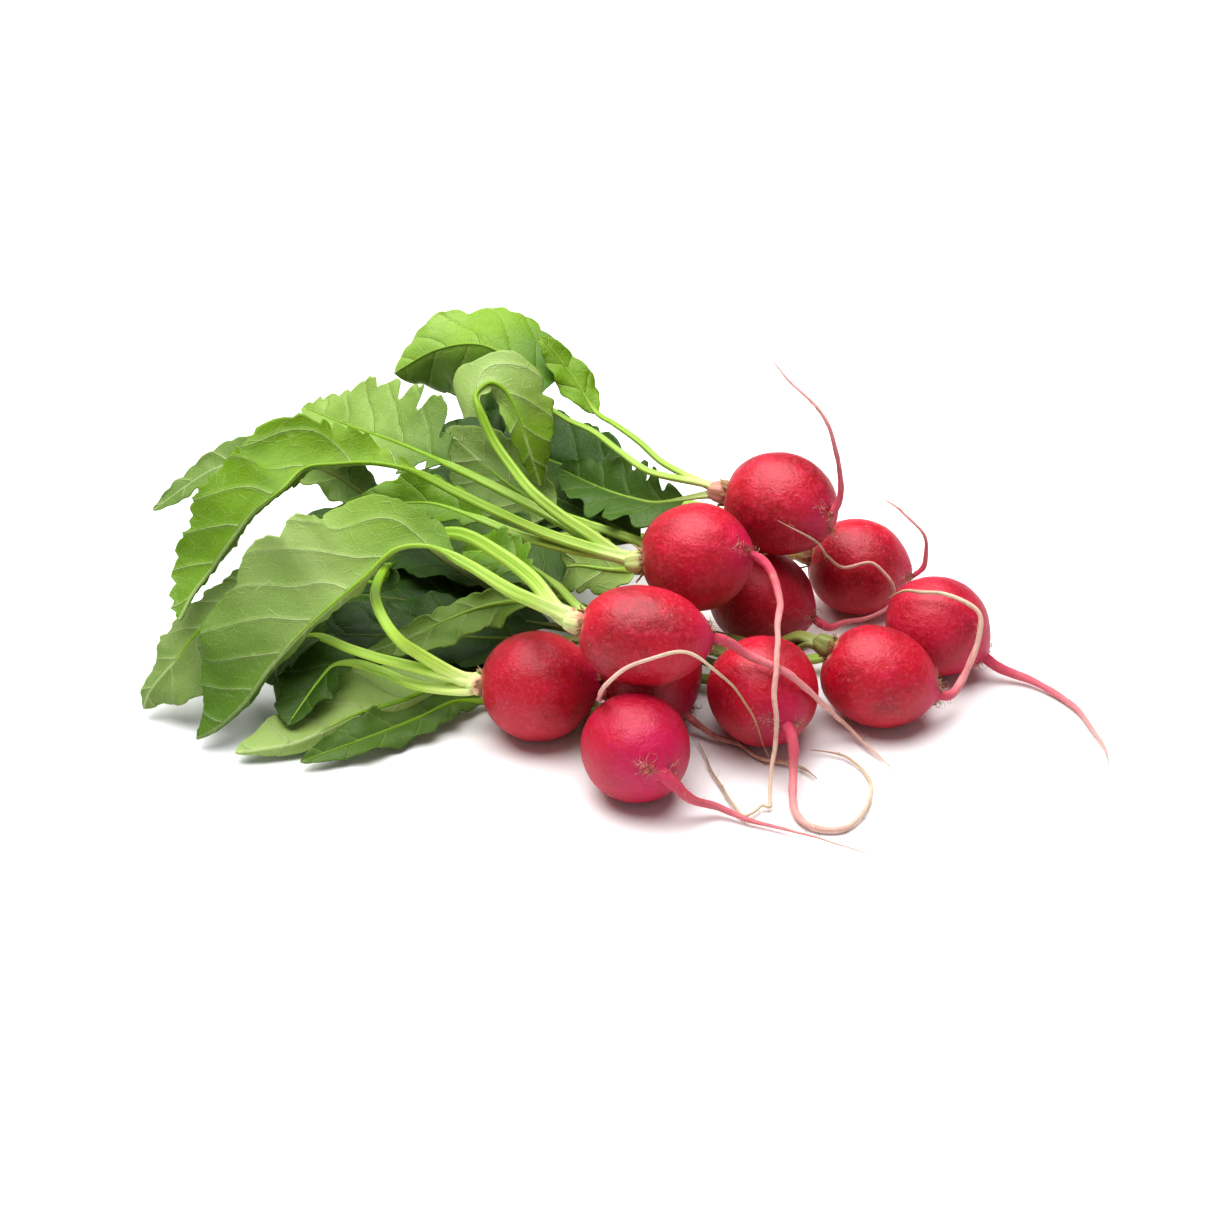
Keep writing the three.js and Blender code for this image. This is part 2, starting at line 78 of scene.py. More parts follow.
def around(turn, a, b):  # directions in the plane of a and b, this far round from a
    return np.cos(turn)[..., None] * a + np.sin(turn)[..., None] * b


def lumps(points, size, seed):  # smooth noise from -1 to 1, with lumps of about this size
    p = np.asarray(points, float) / size + noiseShift * (seed + 1)
    cell = np.floor(p)
    f = ease(p - cell)
    total = 0
    for corner in np.ndindex(2, 2, 2):
        hashed = np.sin((cell + corner) @ noiseHash) * noiseSpread
        weight = np.prod(np.where(corner, f, 1 - f), axis=-1)
        total = total + weight * (2 * (hashed - np.floor(hashed)) - 1)
    return total


class Route:  # a smooth line through a few points, the same curve as in the part's source
    stepsInSpan = 60
    headingReach = 0.6  # mm to each side of the place

    def __init__(self, points):
        p = np.array(points, float)
        p = np.vstack([2 * p[0] - p[1], p, 2 * p[-1] - p[-2]])
        gap = np.linalg.norm(np.diff(p, axis=0), axis=1) ** 0.5
        t = np.linspace(0, 1, self.stepsInSpan, endpoint=False)[:, None]
        path = []
        for i in range(1, len(p) - 2):
            a, b, c = gap[i - 1:i + 2]
            x0, x1, x2, x3 = p[i - 1:i + 3]
            leave = b * ((x1 - x0) / a - (x2 - x0) / (a + b) + (x2 - x1) / b)
            arrive = b * ((x2 - x1) / b - (x3 - x1) / (b + c) + (x3 - x2) / c)
            path.append(x1 + leave * t + (3 * (x2 - x1) - 2 * leave - arrive) * t ** 2
                        + (2 * (x1 - x2) + leave + arrive) * t ** 3)
        self.path = np.vstack(path + [p[-2:-1]])
        self.far = np.r_[0, np.cumsum(np.linalg.norm(np.diff(self.path, axis=0), axis=1))]
        self.length = self.far[-1]

    def at(self, far):  # points at these distances along it
        return between(far, self.far, self.path)

    def heading(self, far):
        ahead = self.at(np.minimum(far + self.headingReach, self.length))
        return units(ahead - self.at(np.maximum(far - self.headingReach, 0)))


def carried(first, headings):  # a cross direction taken along a line without twisting
    out, side = [], np.asarray(first, float)
    for heading in headings:
        side = unit(side - heading * (side @ heading))
        out.append(side)
    return np.array(out)


# Meshes that start as Blender's primitives.

def deselect():
    bpy.ops.object.select_all(action="DESELECT")


def setPlaces(piece, points, lowest=0.0):  # mm in the table's frame, none below this height
    points[:, 2] = np.maximum(points[:, 2], lowest)
    piece.data.vertices.foreach_set("co", ((points - bunchMiddle) * mm).astype(np.float32).ravel())
    piece.data.update()


def store(piece, name, values):  # an attribute that the materials read
    values = np.asarray(values, np.float32)
    kind, part = ("FLOAT_VECTOR", "vector") if values.ndim == 2 else ("FLOAT", "value")
    piece.data.attributes.new(name, kind, "POINT").data.foreach_set(part, values.ravel())


def primitive(name, add, **settings):  # it and the places of its points
    deselect()
    add(**settings)
    piece = bpy.context.object
    piece.name = name
    bpy.ops.object.shade_smooth()
    co = np.empty(len(piece.data.vertices) * 3, np.float32)
    piece.data.vertices.foreach_get("co", co)
    return piece, co.reshape(-1, 3).astype(float)


def ringedSphere(name, sides, rings):  # its rings and turns, so that it can be drawn out along a line
    piece, co = primitive(name, bpy.ops.mesh.primitive_uv_sphere_add, segments=sides, ring_count=rings,
                          radius=1)
    ring = np.rint(np.arccos(np.clip(co[:, 2], -1, 1)) / math.pi * rings).astype(int)
    return piece, ring, np.arctan2(co[:, 1], co[:, 0])


def sheet(name, along, across):  # a grid with its share along, 0 to 1, and its place across, -1 to 1
    piece, co = primitive(name, bpy.ops.mesh.primitive_grid_add, x_subdivisions=along,
                          y_subdivisions=across, size=2)
    return piece, (co[:, 0] + 1) / 2, -co[:, 1]


def thicken(piece, thickness, underside=0):  # a sheet gets its wall; its underside may wear the next material
    deselect()
    piece.select_set(True)
    bpy.context.view_layer.objects.active = piece
    wall = piece.modifiers.new("Wall", "SOLIDIFY")
    wall.thickness, wall.offset, wall.material_offset = thickness * mm, 0, underside
    bpy.ops.object.modifier_apply(modifier=wall.name)


def joined(name, pieces):
    deselect()
    for piece in pieces:
        piece.select_set(True)
    bpy.context.view_layer.objects.active = pieces[0]
    bpy.ops.object.join()
    pieces[0].name = name
    pieces[0].data.name = name
    return pieces[0]


# Materials.

class Wire:  # one value in a material; sums on it add Math nodes
    def __init__(self, look, socket):
        self.look, self.socket = look, socket

    def __add__(self, other):
        return self.look.sum("ADD", self, other)

    def __sub__(self, other):
        return self.look.sum("SUBTRACT", self, other)

    def __rsub__(self, other):
        return self.look.sum("SUBTRACT", other, self)

    def __mul__(self, other):
        return self.look.sum("MULTIPLY", self, other)

    def __truediv__(self, other):
        return self.look.sum("DIVIDE", self, other)

    __radd__ = __add__
    __rmul__ = __mul__


class Look:  # a material and the nodes in it
    def __init__(self, name, constants):
        self.material = bpy.data.materials.new(name)
        self.material.use_nodes = True
        self.tree = self.material.node_tree
        self.shader = self.tree.nodes["Principled BSDF"]
        for key, value in constants.items():
            self.shader.inputs[key].default_value = value

    def node(self, kind, sockets, settings=(), output=0):
        made = self.tree.nodes.new("ShaderNode" + kind)
        for key, value in dict(settings).items():
            if key == "stops":
                self.setRamp(made.color_ramp, value)
            else:
                setattr(made, key, value)
        for key, value in sockets.items():
            if isinstance(value, Wire):
                self.tree.links.new(value.socket, made.inputs[key])
            else:
                made.inputs[key].default_value = value
        return Wire(self, made.outputs[output])

    def setRamp(self, ramp, stops):
        while len(ramp.elements) < len(stops):
            ramp.elements.new(0.5)
        for element, (place, colour) in zip(ramp.elements, stops):
            element.position, element.color = place, (*colour, 1)

    def sum(self, operation, *values):
        return self.node("Math", dict(enumerate(values)), {"operation": operation})

    def fade(self, value, start, end):  # 0 to 1 as the value goes from start to end
        return self.node("MapRange", {"Value": value, "From Min": start, "From Max": end},
                         {"interpolation_type": "SMOOTHSTEP"})

    def blend(self, factor, first, second, how="MIX"):
        a, b = (v if isinstance(v, Wire) else (*v, 1) for v in (first, second))
        return self.node("Mix", {0: factor, 6: a, 7: b}, {"data_type": "RGBA", "blend_type": how}, 2)

    def paint(self, colour, layers, colours, follows, within):  # one layer of colour over another
        masks = {}
        for layer, (name, amount, start, end) in layers.items():
            mask = self.fade(follows[layer], start, end)
            masks[layer] = mask * within[layer] if layer in within else mask
            colour = self.blend(masks[layer] * amount, colour, colours[name])
        return colour, masks

    def noise(self, place, scale, detail, distortion=0.0):
        return self.node("TexNoise", {"Vector": place, "Scale": scale, "Detail": detail,
                                      "Distortion": distortion})

    def cells(self, place, scale, feature):
        return self.node("TexVoronoi", {"Vector": place, "Scale": scale}, {"feature": feature})

    def read(self, name, part=None):  # an attribute of the piece, or one part of it
        vector = self.node("Attribute", {}, {"attribute_name": name}, 1)
        return vector if part is None else self.node("SeparateXYZ", {0: vector}, (), part)

    def place(self):
        return self.node("TexCoord", {}, (), 3)

    def wear(self, links):  # what each named socket of the shader takes
        for key, wire in links.items():
            self.tree.links.new(wire.socket, self.shader.inputs[key])

    def relief(self, *heights):  # one Bump node after another: (height, strength, distance in mm)
        normal = None
        for height, strength, distance in heights:
            sockets = {"Height": height, "Strength": strength, "Distance": distance * mm}
            if normal:
                sockets["Normal"] = normal
            normal = self.node("Bump", sockets)
        self.wear({"Normal": normal})


# The skin of the roots. Attribute skinPlace holds the angle from the root's pole, the angle from the crown
# and how far the taproot has paled, from 0 to 1; aroundRoot runs round the globe; fibre is 1 on rootlets;
# skinMarks holds how rosy the root is and how near the skin is to a row of rootlets.

skinColours = {
    "crimson": (0.50, 0, 0.021), "deep": (0.24, 0, 0.004), "light": (0.62, 0.010, 0.075),
    "rosy": (0.50, 0.010, 0.070), "magenta": (0.56, 0.002, 0.090), "rose": (0.66, 0.055, 0.125),
    "pink": (0.76, 0.26, 0.28), "pale": (0.84, 0.54, 0.46), "cream": (0.80, 0.66, 0.48),
    "tan": (0.50, 0.33, 0.18), "white": (0.84, 0.50, 0.46), "brown": (0.20, 0.09, 0.035),
}
skinNoise = {  # scale, detail and distortion
    "broad": (60, 3), "mottle": (380, 4), "bloom": (1000, 4), "freckles": (120, 1), "scars": (210, 3, 1.4),
    "scratches": (900, 3, 2), "pits": (700, 2), "lumps": (150, 4), "pores": (1400, 3),
}
streakNoise, fibreNoise = (6, 4), (18, 4)  # these run round the root
skinLayers = {  # painted in this order: the colour, how much of it shows, and where it begins and is full
    "deep": ("deep", 0.8, 0.38, 0.72), "mottle": ("light", 0.5, 0.48, 0.75),
    "streaks": ("light", 0.45, 0.5, 0.8), "bloom": ("pink", 0.12, 0.46, 0.70),
    "rosy": ("rosy", 0.9, 0.2, 0.7), "nearRoot": ("magenta", 0.75, 0.85, 0.10),
    "nearCrown": ("white", 0.55, 0.50, 0.24), "papery": ("tan", 0.8, 0.33, 0.26),
    "specks": ("white", 0.3, 0.52, 0.62), "scars": ("tan", 0.35, 0.74, 0.78),
    "scratches": ("cream", 0.8, 0.53, 0.60), "pits": ("brown", 0.7, 0.60, 0.66),
}
taprootStops = [(0, "magenta"), (0.06, "rose"), (0.2, "pink"), (0.42, "pale"), (0.7, "cream"), (1, "tan")]
taprootLayers = {  # the same, over the colours above
    "rosyFibres": ("rose", 0.6, 0.50, 0.66), "tanFibres": ("tan", 0.35, 0.46, 0.34),
    "mottle": ("tan", 0.45, 0.60, 0.72),
}
skinUneven = {  # how far noise, or a rosy root, moves the edges of the colours
    "nearRoot": 0.7, "rosyRoot": 0.5, "nearCrown": 0.35, "papery": 0.22, "taproot": 0.16,
}
skinFades = {  # where other masks begin and are full
    "speck": (0.15, 0.05), "crownStreaks": (0.38, 0.62), "redTaproot": (0.9, 0.1), "taproot": (0, 0.02),
    "hair": (0.45, 0.60), "dullTaproot": (0, 0.05), "rootFibres": (0.7, 0.1),
}
skinRough = {"all": 0.38, "mottle": 0.16, "bloom": 0.1, "papery": 0.25, "taproot": 0.1}
skinBumps = {  # strength, and height in mm
    "lumps": (0.45, 1.3), "mottle": (0.45, 0.5), "pores": (0.6, 0.3), "scars": (0.4, -0.2),
    "scratches": (0.5, 0.2), "rootFibres": (0.6, 0.35),
}
speckScale = 420


def makeSkinLook(c):
    look = Look("radishSkin", {"IOR": 1.45, "Specular IOR Level": 0.62, "Coat Weight": 0.05,
                               "Coat Roughness": 0.28, "Subsurface Weight": 0.03,
                               "Subsurface Scale": 0.0015})
    place, roundRoot = look.place(), look.read("aroundRoot")
    rootAngle, crownAngle, paling = (look.read("skinPlace", k) for k in range(3))
    rosy, nearRow = (look.read("skinMarks", k) for k in range(2))
    hair = look.node("Attribute", {}, {"attribute_name": "fibre"}, 2)
    noise = {name: look.noise(place, *values) for name, values in skinNoise.items()}
    broad, mottle = noise["broad"], noise["mottle"]
    streak, fibres = look.noise(roundRoot, *streakNoise), look.noise(roundRoot, *fibreNoise)

    uneven, fades, dull = skinUneven, skinFades, skinRough
    follows = {  # the value that each layer goes by
        **noise, "deep": broad, "streaks": streak, "rosy": mottle, "specks": noise["freckles"],
        "nearRoot": rootAngle + (streak - 0.5) * uneven["nearRoot"] - rosy * uneven["rosyRoot"],
        "nearCrown": crownAngle + (streak - 0.5) * uneven["nearCrown"],
        "papery": crownAngle + (mottle - 0.5) * uneven["papery"],
    }
    within = {  # where else a layer has to be
        "rosy": rosy, "scratches": nearRow, "pits": nearRow,
        "nearCrown": look.fade(streak, *fades["crownStreaks"]),
        "specks": look.fade(look.cells(place, speckScale, "F1"), *fades["speck"]),
    }
    colour, masks = look.paint(c["crimson"], skinLayers, c, follows, within)

    ramp = look.node("ValToRGB", {0: paling + (broad - 0.5) * uneven["taproot"]},
                     {"stops": [(share, c[name]) for share, name in taprootStops]})
    follows = {"rosyFibres": fibres, "tanFibres": fibres, "mottle": mottle}
    within = {"rosyFibres": look.fade(paling, *fades["redTaproot"])}
    ramp, _ = look.paint(ramp, taprootLayers, c, follows, within)
    colour = look.blend(look.fade(paling, *fades["taproot"]), colour, ramp)
    hairColour = look.blend(look.fade(mottle, *fades["hair"]), c["tan"], c["brown"])
    rough = (dull["all"] + mottle * dull["mottle"] + masks["bloom"] * dull["bloom"]
             + masks["papery"] * dull["papery"]
             + look.fade(paling, *fades["dullTaproot"]) * dull["taproot"])
    look.wear({"Base Color": look.blend(hair, colour, hairColour), "Roughness": rough})
    heights = {**noise, "scars": masks["scars"], "scratches": masks["scratches"],
               "rootFibres": fibres * look.fade(rootAngle, *fades["rootFibres"])}
    look.relief(*((heights[name], *values) for name, values in skinBumps.items()))
    return look.material


# The blades. veinPlace holds the count of side veins passed, the mm out from the midrib and the share of the
# blade's length; netPlace the place on the flattened blade in mm; the third attribute how yellow it is, how
# light it is painted, which is partly its own tone and partly painted shade and painted light, and the mm
# between its side veins.

# the dark and pale greens are the ends of the light tone: own tone, painted shade and painted light
upperSide = {
    "dark": (0.036, 0.100, 0.001), "pale": (0.330, 0.450, 0.140),
    "darkYellow": (0.060, 0.160, 0), "paleYellow": (0.260, 0.450, 0.001),
    "patch": (0.62, 0.74, 0.40), "vein": (0.42, 0.56, 0.14), "glow": (1.6, 1.7, 0.1),
    "gloss": 0.6, "rough": 0.44, "veins": 0.5, "raised": -1, "thin": 0.18,
}
underSide = {
    "dark": (0.070, 0.150, 0.004), "pale": (0.370, 0.490, 0.160),
    "darkYellow": (0.090, 0.215, 0), "paleYellow": (0.300, 0.480, 0.002),
    "patch": (0.66, 0.78, 0.46), "vein": (0.50, 0.60, 0.28), "glow": (1.5, 1.7, 0.1),
    "gloss": 0.55, "rough": 0.48, "veins": 0.8, "raised": 1, "thin": 0.16,
}
veinNet = {
    "patches": (0.07, 3), "grain": (1.6, 4), "branches": 0.26, "fineCells": 0.75,  # scale, and detail
    "sideVein": 0.42, "thinning": 0.016, "thinnest": 0.13,  # mm wide at the rib, less for each mm, at least
    "midrib": 0.9, "midribTip": 0.3, "halo": 1.4,  # mm
    "branchEdge": (0.035, 0.004), "fineEdge": (0.09, 0.01),  # where the net's lines begin and are full
}
bladeMottle = {  # how much of it shows, and where it begins and is full
    "patches": (0.55, 0.35, 0.75), "grain": (0.25, 0.4, 0.8),
}
veinShows = {  # on a dark blade and how much more on a light one, and what part of that for the finer lines
    "dark": 0.35, "lighter": 0.65, "halo": 0.2, "branch": 0.26, "fineLine": 0.14,
}
veinBumps = {  # strength, and height in mm
    "halo": (0.45, 0.35), "sideVein": (0.7, 0.3), "branch": (0.5, 0.16), "fineLine": (0.45, 0.09),
}
grainBump = (0.4, 0.18)


def makeBladeLook(name, c):
    s, shows = veinNet, veinShows
    look = Look(name, {"IOR": 1.42, "Specular IOR Level": c["gloss"]})
    vein, out, share = (look.read("veinPlace", k) for k in range(3))
    yellow, light, spacing = (look.read("tint", k) for k in range(3))
    net = look.read("netPlace")
    noise = {key: look.noise(net, *s[key]) for key in bladeMottle}
    grain = noise["grain"]
    # the light tone mixes dark into pale: partly the blade's own tone, partly painted shade and painted light
    colour = look.blend(yellow, look.blend(light, c["dark"], c["pale"]),
                        look.blend(light, c["darkYellow"], c["paleYellow"]))
    for key, (amount, start, end) in bladeMottle.items():
        colour = look.blend(look.fade(noise[key], start, end) * amount, colour, c["patch"], "MULTIPLY")

    fromVein = look.sum("ABSOLUTE", look.sum("FRACT", vein + 0.5) - 0.5) * spacing
    width = look.sum("MAXIMUM", s["sideVein"] - out * s["thinning"], s["thinnest"])
    sideVein = look.fade(fromVein, width, width * 0.25) * look.fade(out, 0.1, 0.5)
    halo = look.fade(fromVein, s["halo"], 0)
    branch = look.fade(look.cells(net, s["branches"], "DISTANCE_TO_EDGE"), *s["branchEdge"])
    fineLine = look.fade(look.cells(net, s["fineCells"], "DISTANCE_TO_EDGE"), *s["fineEdge"])
    midrib = look.fade(out, s["midrib"] - share * (s["midrib"] - s["midribTip"]), 0.2)
    veins = (light * shows["lighter"] + shows["dark"]) * c["veins"]
    broken = 0.35 + look.fade(grain, 0.3, 0.6) * 0.65
    for mask in (halo * veins * shows["halo"], branch * veins * shows["branch"],
                 fineLine * veins * shows["fineLine"], sideVein * veins * broken, midrib * veins):
        colour = look.blend(mask, colour, c["vein"])
    look.wear({"Base Color": colour, "Roughness": c["rough"] + grain * 0.12 - sideVein * 0.05})
    heights = {"halo": halo, "sideVein": sideVein, "branch": branch, "fineLine": fineLine}
    bumps = ((heights[key], strength, high * c["raised"]) for key, (strength, high) in veinBumps.items())
    look.relief(*bumps, (grain, *grainBump))  # the veins stand out below and are sunk above
    through = look.node("BsdfTranslucent", {"Color": look.blend(1.0, colour, c["glow"], "MULTIPLY")})
    shell = look.node("MixShader", {0: c["thin"], 1: Wire(look, look.shader.outputs[0]), 2: through})
    look.tree.links.new(shell.socket, look.tree.nodes["Material Output"].inputs["Surface"])
    return look.material


# The stalks and midribs. stalkPlace runs round the stalk and holds the mm from the crown over stalkUnit;
# the second attribute holds how far they are painted dark olive, partly an old colour and partly painted
# shade deep in the bunch, and how much brighter they are painted, as painted light on stalks that lie in
# shade.

stalkColours = {
    "base": (0.60, 0.66, 0.30), "pale": (0.39, 0.54, 0.10), "green": (0.22, 0.38, 0.010),
    "blush": (0.64, 0.30, 0.26), "groove": (0.66, 0.80, 0.46), "olive": (0.16, 0.17, 0.035),
}
stalkStops = [(0, "blush"), (0.025, "base"), (0.16, "pale"), (0.75, "green")]
stalkUnit = 60
stalkRamp = 90  # mm that the stops above cover
stalkLines = {"scale": 3.2, "detail": 3, "begin": 0.4, "full": 0.7, "shows": 0.8}


def makeStalkLook(c):
    look = Look("radishStalk", {"IOR": 1.42, "Specular IOR Level": 0.5, "Subsurface Weight": 0.12,
                                "Subsurface Scale": 0.002})
    place = look.place()
    far = look.read("stalkPlace", 2) * stalkUnit
    oliveAndShade, paintedLight = (look.read("stalkAge", k) for k in range(2))
    s = stalkLines
    lines = look.noise(look.read("stalkPlace"), s["scale"], s["detail"])
    patches = look.noise(place, 130, 3)
    colour = look.node("ValToRGB", {0: far / stalkRamp + (patches - 0.5) * 0.15},
                       {"stops": [(share, c[name]) for share, name in stalkStops]})
    grooves = look.fade(lines, s["begin"], s["full"]) * s["shows"]
    colour = look.blend(grooves, colour, c["groove"], "MULTIPLY")
    # blended toward dark olive: partly the stalks' old colour, partly painted shade deep in the bunch
    colour = look.blend(oliveAndShade, colour, c["olive"])
    # the stalks are then scaled brighter, as painted light where they lie in the shade of the leaves
    colour = look.node("VectorMath", {0: colour, 3: paintedLight}, {"operation": "SCALE"})
    look.wear({"Base Color": colour, "Roughness": 0.34 + patches * 0.16})
    look.relief((lines, 0.5, 0.35), (look.noise(place, 1300, 2), 0.2, 0.1))
    return look.material


def makeDryLook(dark, pale):  # the dry scales round the crown
    look = Look("dryScale", {"Specular IOR Level": 0.2})
    flecks = look.noise(look.place(), 900, 4)
    look.wear({"Base Color": look.blend(flecks, dark, pale), "Roughness": 0.7 + flecks * 0.2})
    look.relief((flecks, 0.5, 0.3))
    return look.material


skinLook = makeSkinLook(skinColours)
upperLook = makeBladeLook("leafUpper", upperSide)
underLook = makeBladeLook("leafUnder", underSide)
stalkLook = makeStalkLook(stalkColours)
dryLook = makeDryLook((0.20, 0.10, 0.045), (0.58, 0.42, 0.24))
print("Materials made")


# The root: globe, taproot and rootlets.

rootShape = {
    "swell": 1.4, "swellAngle": 0.42, "crownDip": 0.8, "crownDipAngle": 0.5,  # as in the part's source
    "sides": 48, "globeRings": 62, "flareRings": 26, "step": 0.9, "lineSteps": 500,
    "flareAngle": 0.62, "openAngle": 0.6,  # from the pole, where the close rings and the flare begin
    "flare": 5, "sunk": 0.3, "blendWidth": 2.4,  # mm, but sunk is a share of the way to the centre
    "straight": 5, "bend": 2.5,  # mm of the taproot that still runs straight out, and that bend to its line
    "tipFrom": 0.86, "tipThin": 0.4,  # share of the length where the tip thins, and to what
}
skinRelief = {  # heights and lengths in mm, angles from the pole or the crown
    "wobble": 0.35, "wobbleLength": 7, "wobbleFrom": 12,
    "knots": 0.13, "knotLength": 2.6, "ribs": 0.05,  # shares of the taproot's radius
    "hills": 0.30, "hillSize": 10, "dents": 0.09, "dentSize": 3.2,
    "rings": 0.07, "ringTurns": 3.1, "ringAngle": 0.34, "ringWidth": 0.16,
    "pleats": 0.16, "pleatCount": 11, "pleatAngle": 0.36,
    "rowAngle": 0.30, "rowLength": 0.17, "rowWidth": 0.09,  # of the marks beside the rows of rootlets
}


def crownPlane(radish):  # the crown's direction and two directions across it
    out = unit(radish["crown"])
    side = unit(np.cross(out, (0.2, 1, 0.3)))
    return out, side, np.cross(side, out)


class RootForm:  # one root's globe, and the line of its taproot from inside the globe to the tip
    def __init__(self, number, radish):
        s, relief = rootShape, skinRelief
        self.radish = radish
        self.centre = np.array(radish["centre"], float)
        start = np.array(radish["taproot"][0], float)
        self.reach = np.linalg.norm(start - self.centre)  # mm from the centre to the taproot
        self.pole = unit(start - self.centre)
        self.side = unit(np.cross(self.pole, (0.3, 0.2, 1)))  # any second direction does
        self.rowTurn = random.Random(number * 7).uniform(0, math.pi)  # of the two rows of rootlets
        inside = mix(start, self.centre, s["sunk"])
        route = Route([inside, *radish["taproot"]])
        self.length = route.length
        self.buried = np.linalg.norm(start - inside)  # mm of its line inside the globe
        self.bare = self.length - self.buried  # mm outside it
        self.line = np.linspace(0, self.length, s["lineSteps"])
        headings = route.heading(self.line)
        self.sides = carried(self.side, headings)
        self.others = np.cross(self.sides, headings)
        wobble = ease((self.line - self.buried) / relief["wobbleFrom"]) * relief["wobble"]
        shift = [lumps(table(self.line, 0, 0), relief["wobbleLength"], number * 3 + k) for k in range(3)]
        self.middle = route.at(self.line) + table(*shift) * wobble[:, None]

    def radius(self, past):  # by the mm past the globe's pole
        s = rootShape
        base, middle, tip, thinning = self.radish["thickness"]
        share = np.clip((past + self.buried) / self.length, 0, 1)
        radius = tip + (middle - tip) * (1 - share) ** thinning
        radius = radius + (base - middle) * np.exp(-np.maximum(past, 0) / s["flare"])
        return radius * mix(1, s["tipThin"], ease((share - s["tipFrom"]) / (1 - s["tipFrom"])))

    def globe(self, theta, turn):  # points from the centre, by the angle from the pole and round it
        s, radish = rootShape, self.radish
        along, crownward = unit(radish["axis"]), unit(radish["crown"])
        stretch = radish["halfLength"] - radish["radius"]
        u = around(theta, self.pole, around(turn, self.side, np.cross(self.side, self.pole)))
        skin = u * radish["radius"] + along * (u @ along)[..., None] * stretch
        skin = skin + self.pole * s["swell"] * np.exp(-(theta / s["swellAngle"]) ** 2)[..., None]
        crownAngle = np.arccos(np.clip(u @ crownward, -1, 1))
        dip = np.exp(-(crownAngle / s["crownDipAngle"]) ** 2)[..., None]
        return skin - crownward * s["crownDip"] * dip, u, crownAngle

    def pastPole(self, theta):  # how far past the pole the flare is at this angle, found in a few rounds
        if theta >= rootShape["openAngle"]:
            return -self.reach
        height = self.reach * math.cos(theta)
        for _ in range(3):
            height = self.radius(max(height - self.reach, 0)) / math.tan(theta)
            height = min(height, self.reach + rootShape["straight"])
        return height - self.reach


def makeRoot(number, radish):
    s, relief = rootShape, skinRelief
    form = RootForm(number, radish)
    lastAngle = math.atan2(form.radius(s["straight"]), form.reach + s["straight"])
    angles = np.r_[np.linspace(math.pi, s["flareAngle"], s["globeRings"], endpoint=False),
                   np.geomspace(s["flareAngle"], lastAngle, s["flareRings"])]
    steps = int((form.bare - s["straight"]) / s["step"])
    tubeRings = s["straight"] + (form.bare - s["straight"]) * np.arange(1, steps + 1) / steps
    lastRing = len(angles) + steps - 1
    body, ring, turn = ringedSphere("root", s["sides"], lastRing)
    onGlobe = ring < len(angles)  # the other rings lie along the taproot
    theta = np.r_[angles, np.full(steps, lastAngle)][ring]
    past = np.r_[[form.pastPole(angle) for angle in angles], tubeRings][ring]

    # the globe, blended into the taproot's flare
    skin, u, crownAngle = form.globe(theta, turn)
    depth = np.linalg.norm(skin, axis=1)
    flare = form.radius(np.maximum(past, 0)) / np.maximum(np.sin(theta), 1e-3)
    flare = np.where(theta > s["openAngle"], 0, flare)
    overlap = np.maximum(s["blendWidth"] - np.abs(depth - flare), 0) / s["blendWidth"]
    outer = np.maximum(depth, flare) + overlap ** 2 * s["blendWidth"] / 4
    fromCentre = skin * (outer / depth)[:, None]
    height = fromCentre @ form.pole
    above = height - form.reach  # mm past the pole

    # the tube along the taproot's line, which the globe's last rings bend to
    far = np.clip(np.where(onGlobe, np.maximum(above, 0), past) + form.buried, 0, form.length)
    spine, a, b = (between(far, form.line, rows) for rows in (form.middle, form.sides, form.others))
    outward = around(turn, a, b)
    knots = 1 + relief["knots"] * lumps(table(far, 0, np.cos(turn)), relief["knotLength"], number)
    ribbed = table(np.cos(turn) * 2, np.sin(turn) * 2, far * 0.15)
    knots = knots + relief["ribs"] * lumps(ribbed, 1, number + 40)
    tube = spine + outward * (form.radius(np.maximum(far - form.buried, 0)) * knots)[:, None]
    onTube = ease(np.where(onGlobe, above / s["straight"], 1))
    bent = spine - (form.centre + form.pole * height[:, None])
    globe = form.centre + fromCentre + bent * ease(above / s["bend"])[:, None]
    points = mix(globe, tube, onTube[:, None])
    points[ring == lastRing] = spine[ring == lastRing]

    # the relief of the skin
    _, side, other = crownPlane(radish)
    crownTurn = np.arctan2(-(u @ other), u @ side)
    pleats = np.cos(relief["pleatCount"] * crownTurn + 2 * lumps(u * 3, 1, number))
    rings = np.sin(above * relief["ringTurns"] + 1.5 * lumps(u * 6, 1.3, number))
    nearPole = np.exp(-((theta - relief["ringAngle"]) / relief["ringWidth"]) ** 2)
    bumps = relief["hills"] * lumps(globe, relief["hillSize"], number)
    bumps = bumps + relief["dents"] * lumps(globe, relief["dentSize"], number + 9)
    bumps = bumps * (1 - onTube) - relief["rings"] * np.maximum(rings, 0) * nearPole
    bumps = bumps + relief["pleats"] * pleats * np.exp(-(crownAngle / relief["pleatAngle"]) ** 2)
    setPlaces(body, points + mix(u, outward, onTube[:, None]) * bumps[:, None])

    # what the skin's material reads
    outside = np.where(onGlobe, ease(above / 4), 1)
    paling = (0.02 + np.clip((far - form.buried) / form.bare, 0, 1) * radish["paling"]) * outside
    fromRow = np.abs((turn - form.rowTurn + math.pi / 2) % math.pi - math.pi / 2)
    acrossRow = fromRow * np.sin(theta) / relief["rowWidth"]
    alongRow = (theta - relief["rowAngle"]) / relief["rowLength"]
    nearRow = np.exp(-acrossRow ** 2 - alongRow ** 2) * (1 - onTube)
    store(body, "skinPlace", table(theta, crownAngle, paling))
    store(body, "aroundRoot", table(np.cos(turn), np.sin(turn), theta * 0.35 + far * 0.03))
    store(body, "fibre", radish["dull"] * outside)
    store(body, "skinMarks", table(radish["rosy"], nearRow, 0))
    body.data.materials.append(skinLook)

    rnd = random.Random(number * 7)
    whole = joined(f"radish{number}Root", [body, *makeHairs(rnd, form), *makeWhiskers(rnd, form)])
    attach(whole, "root")
    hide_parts(f"radish_{number}_root")
    return whole


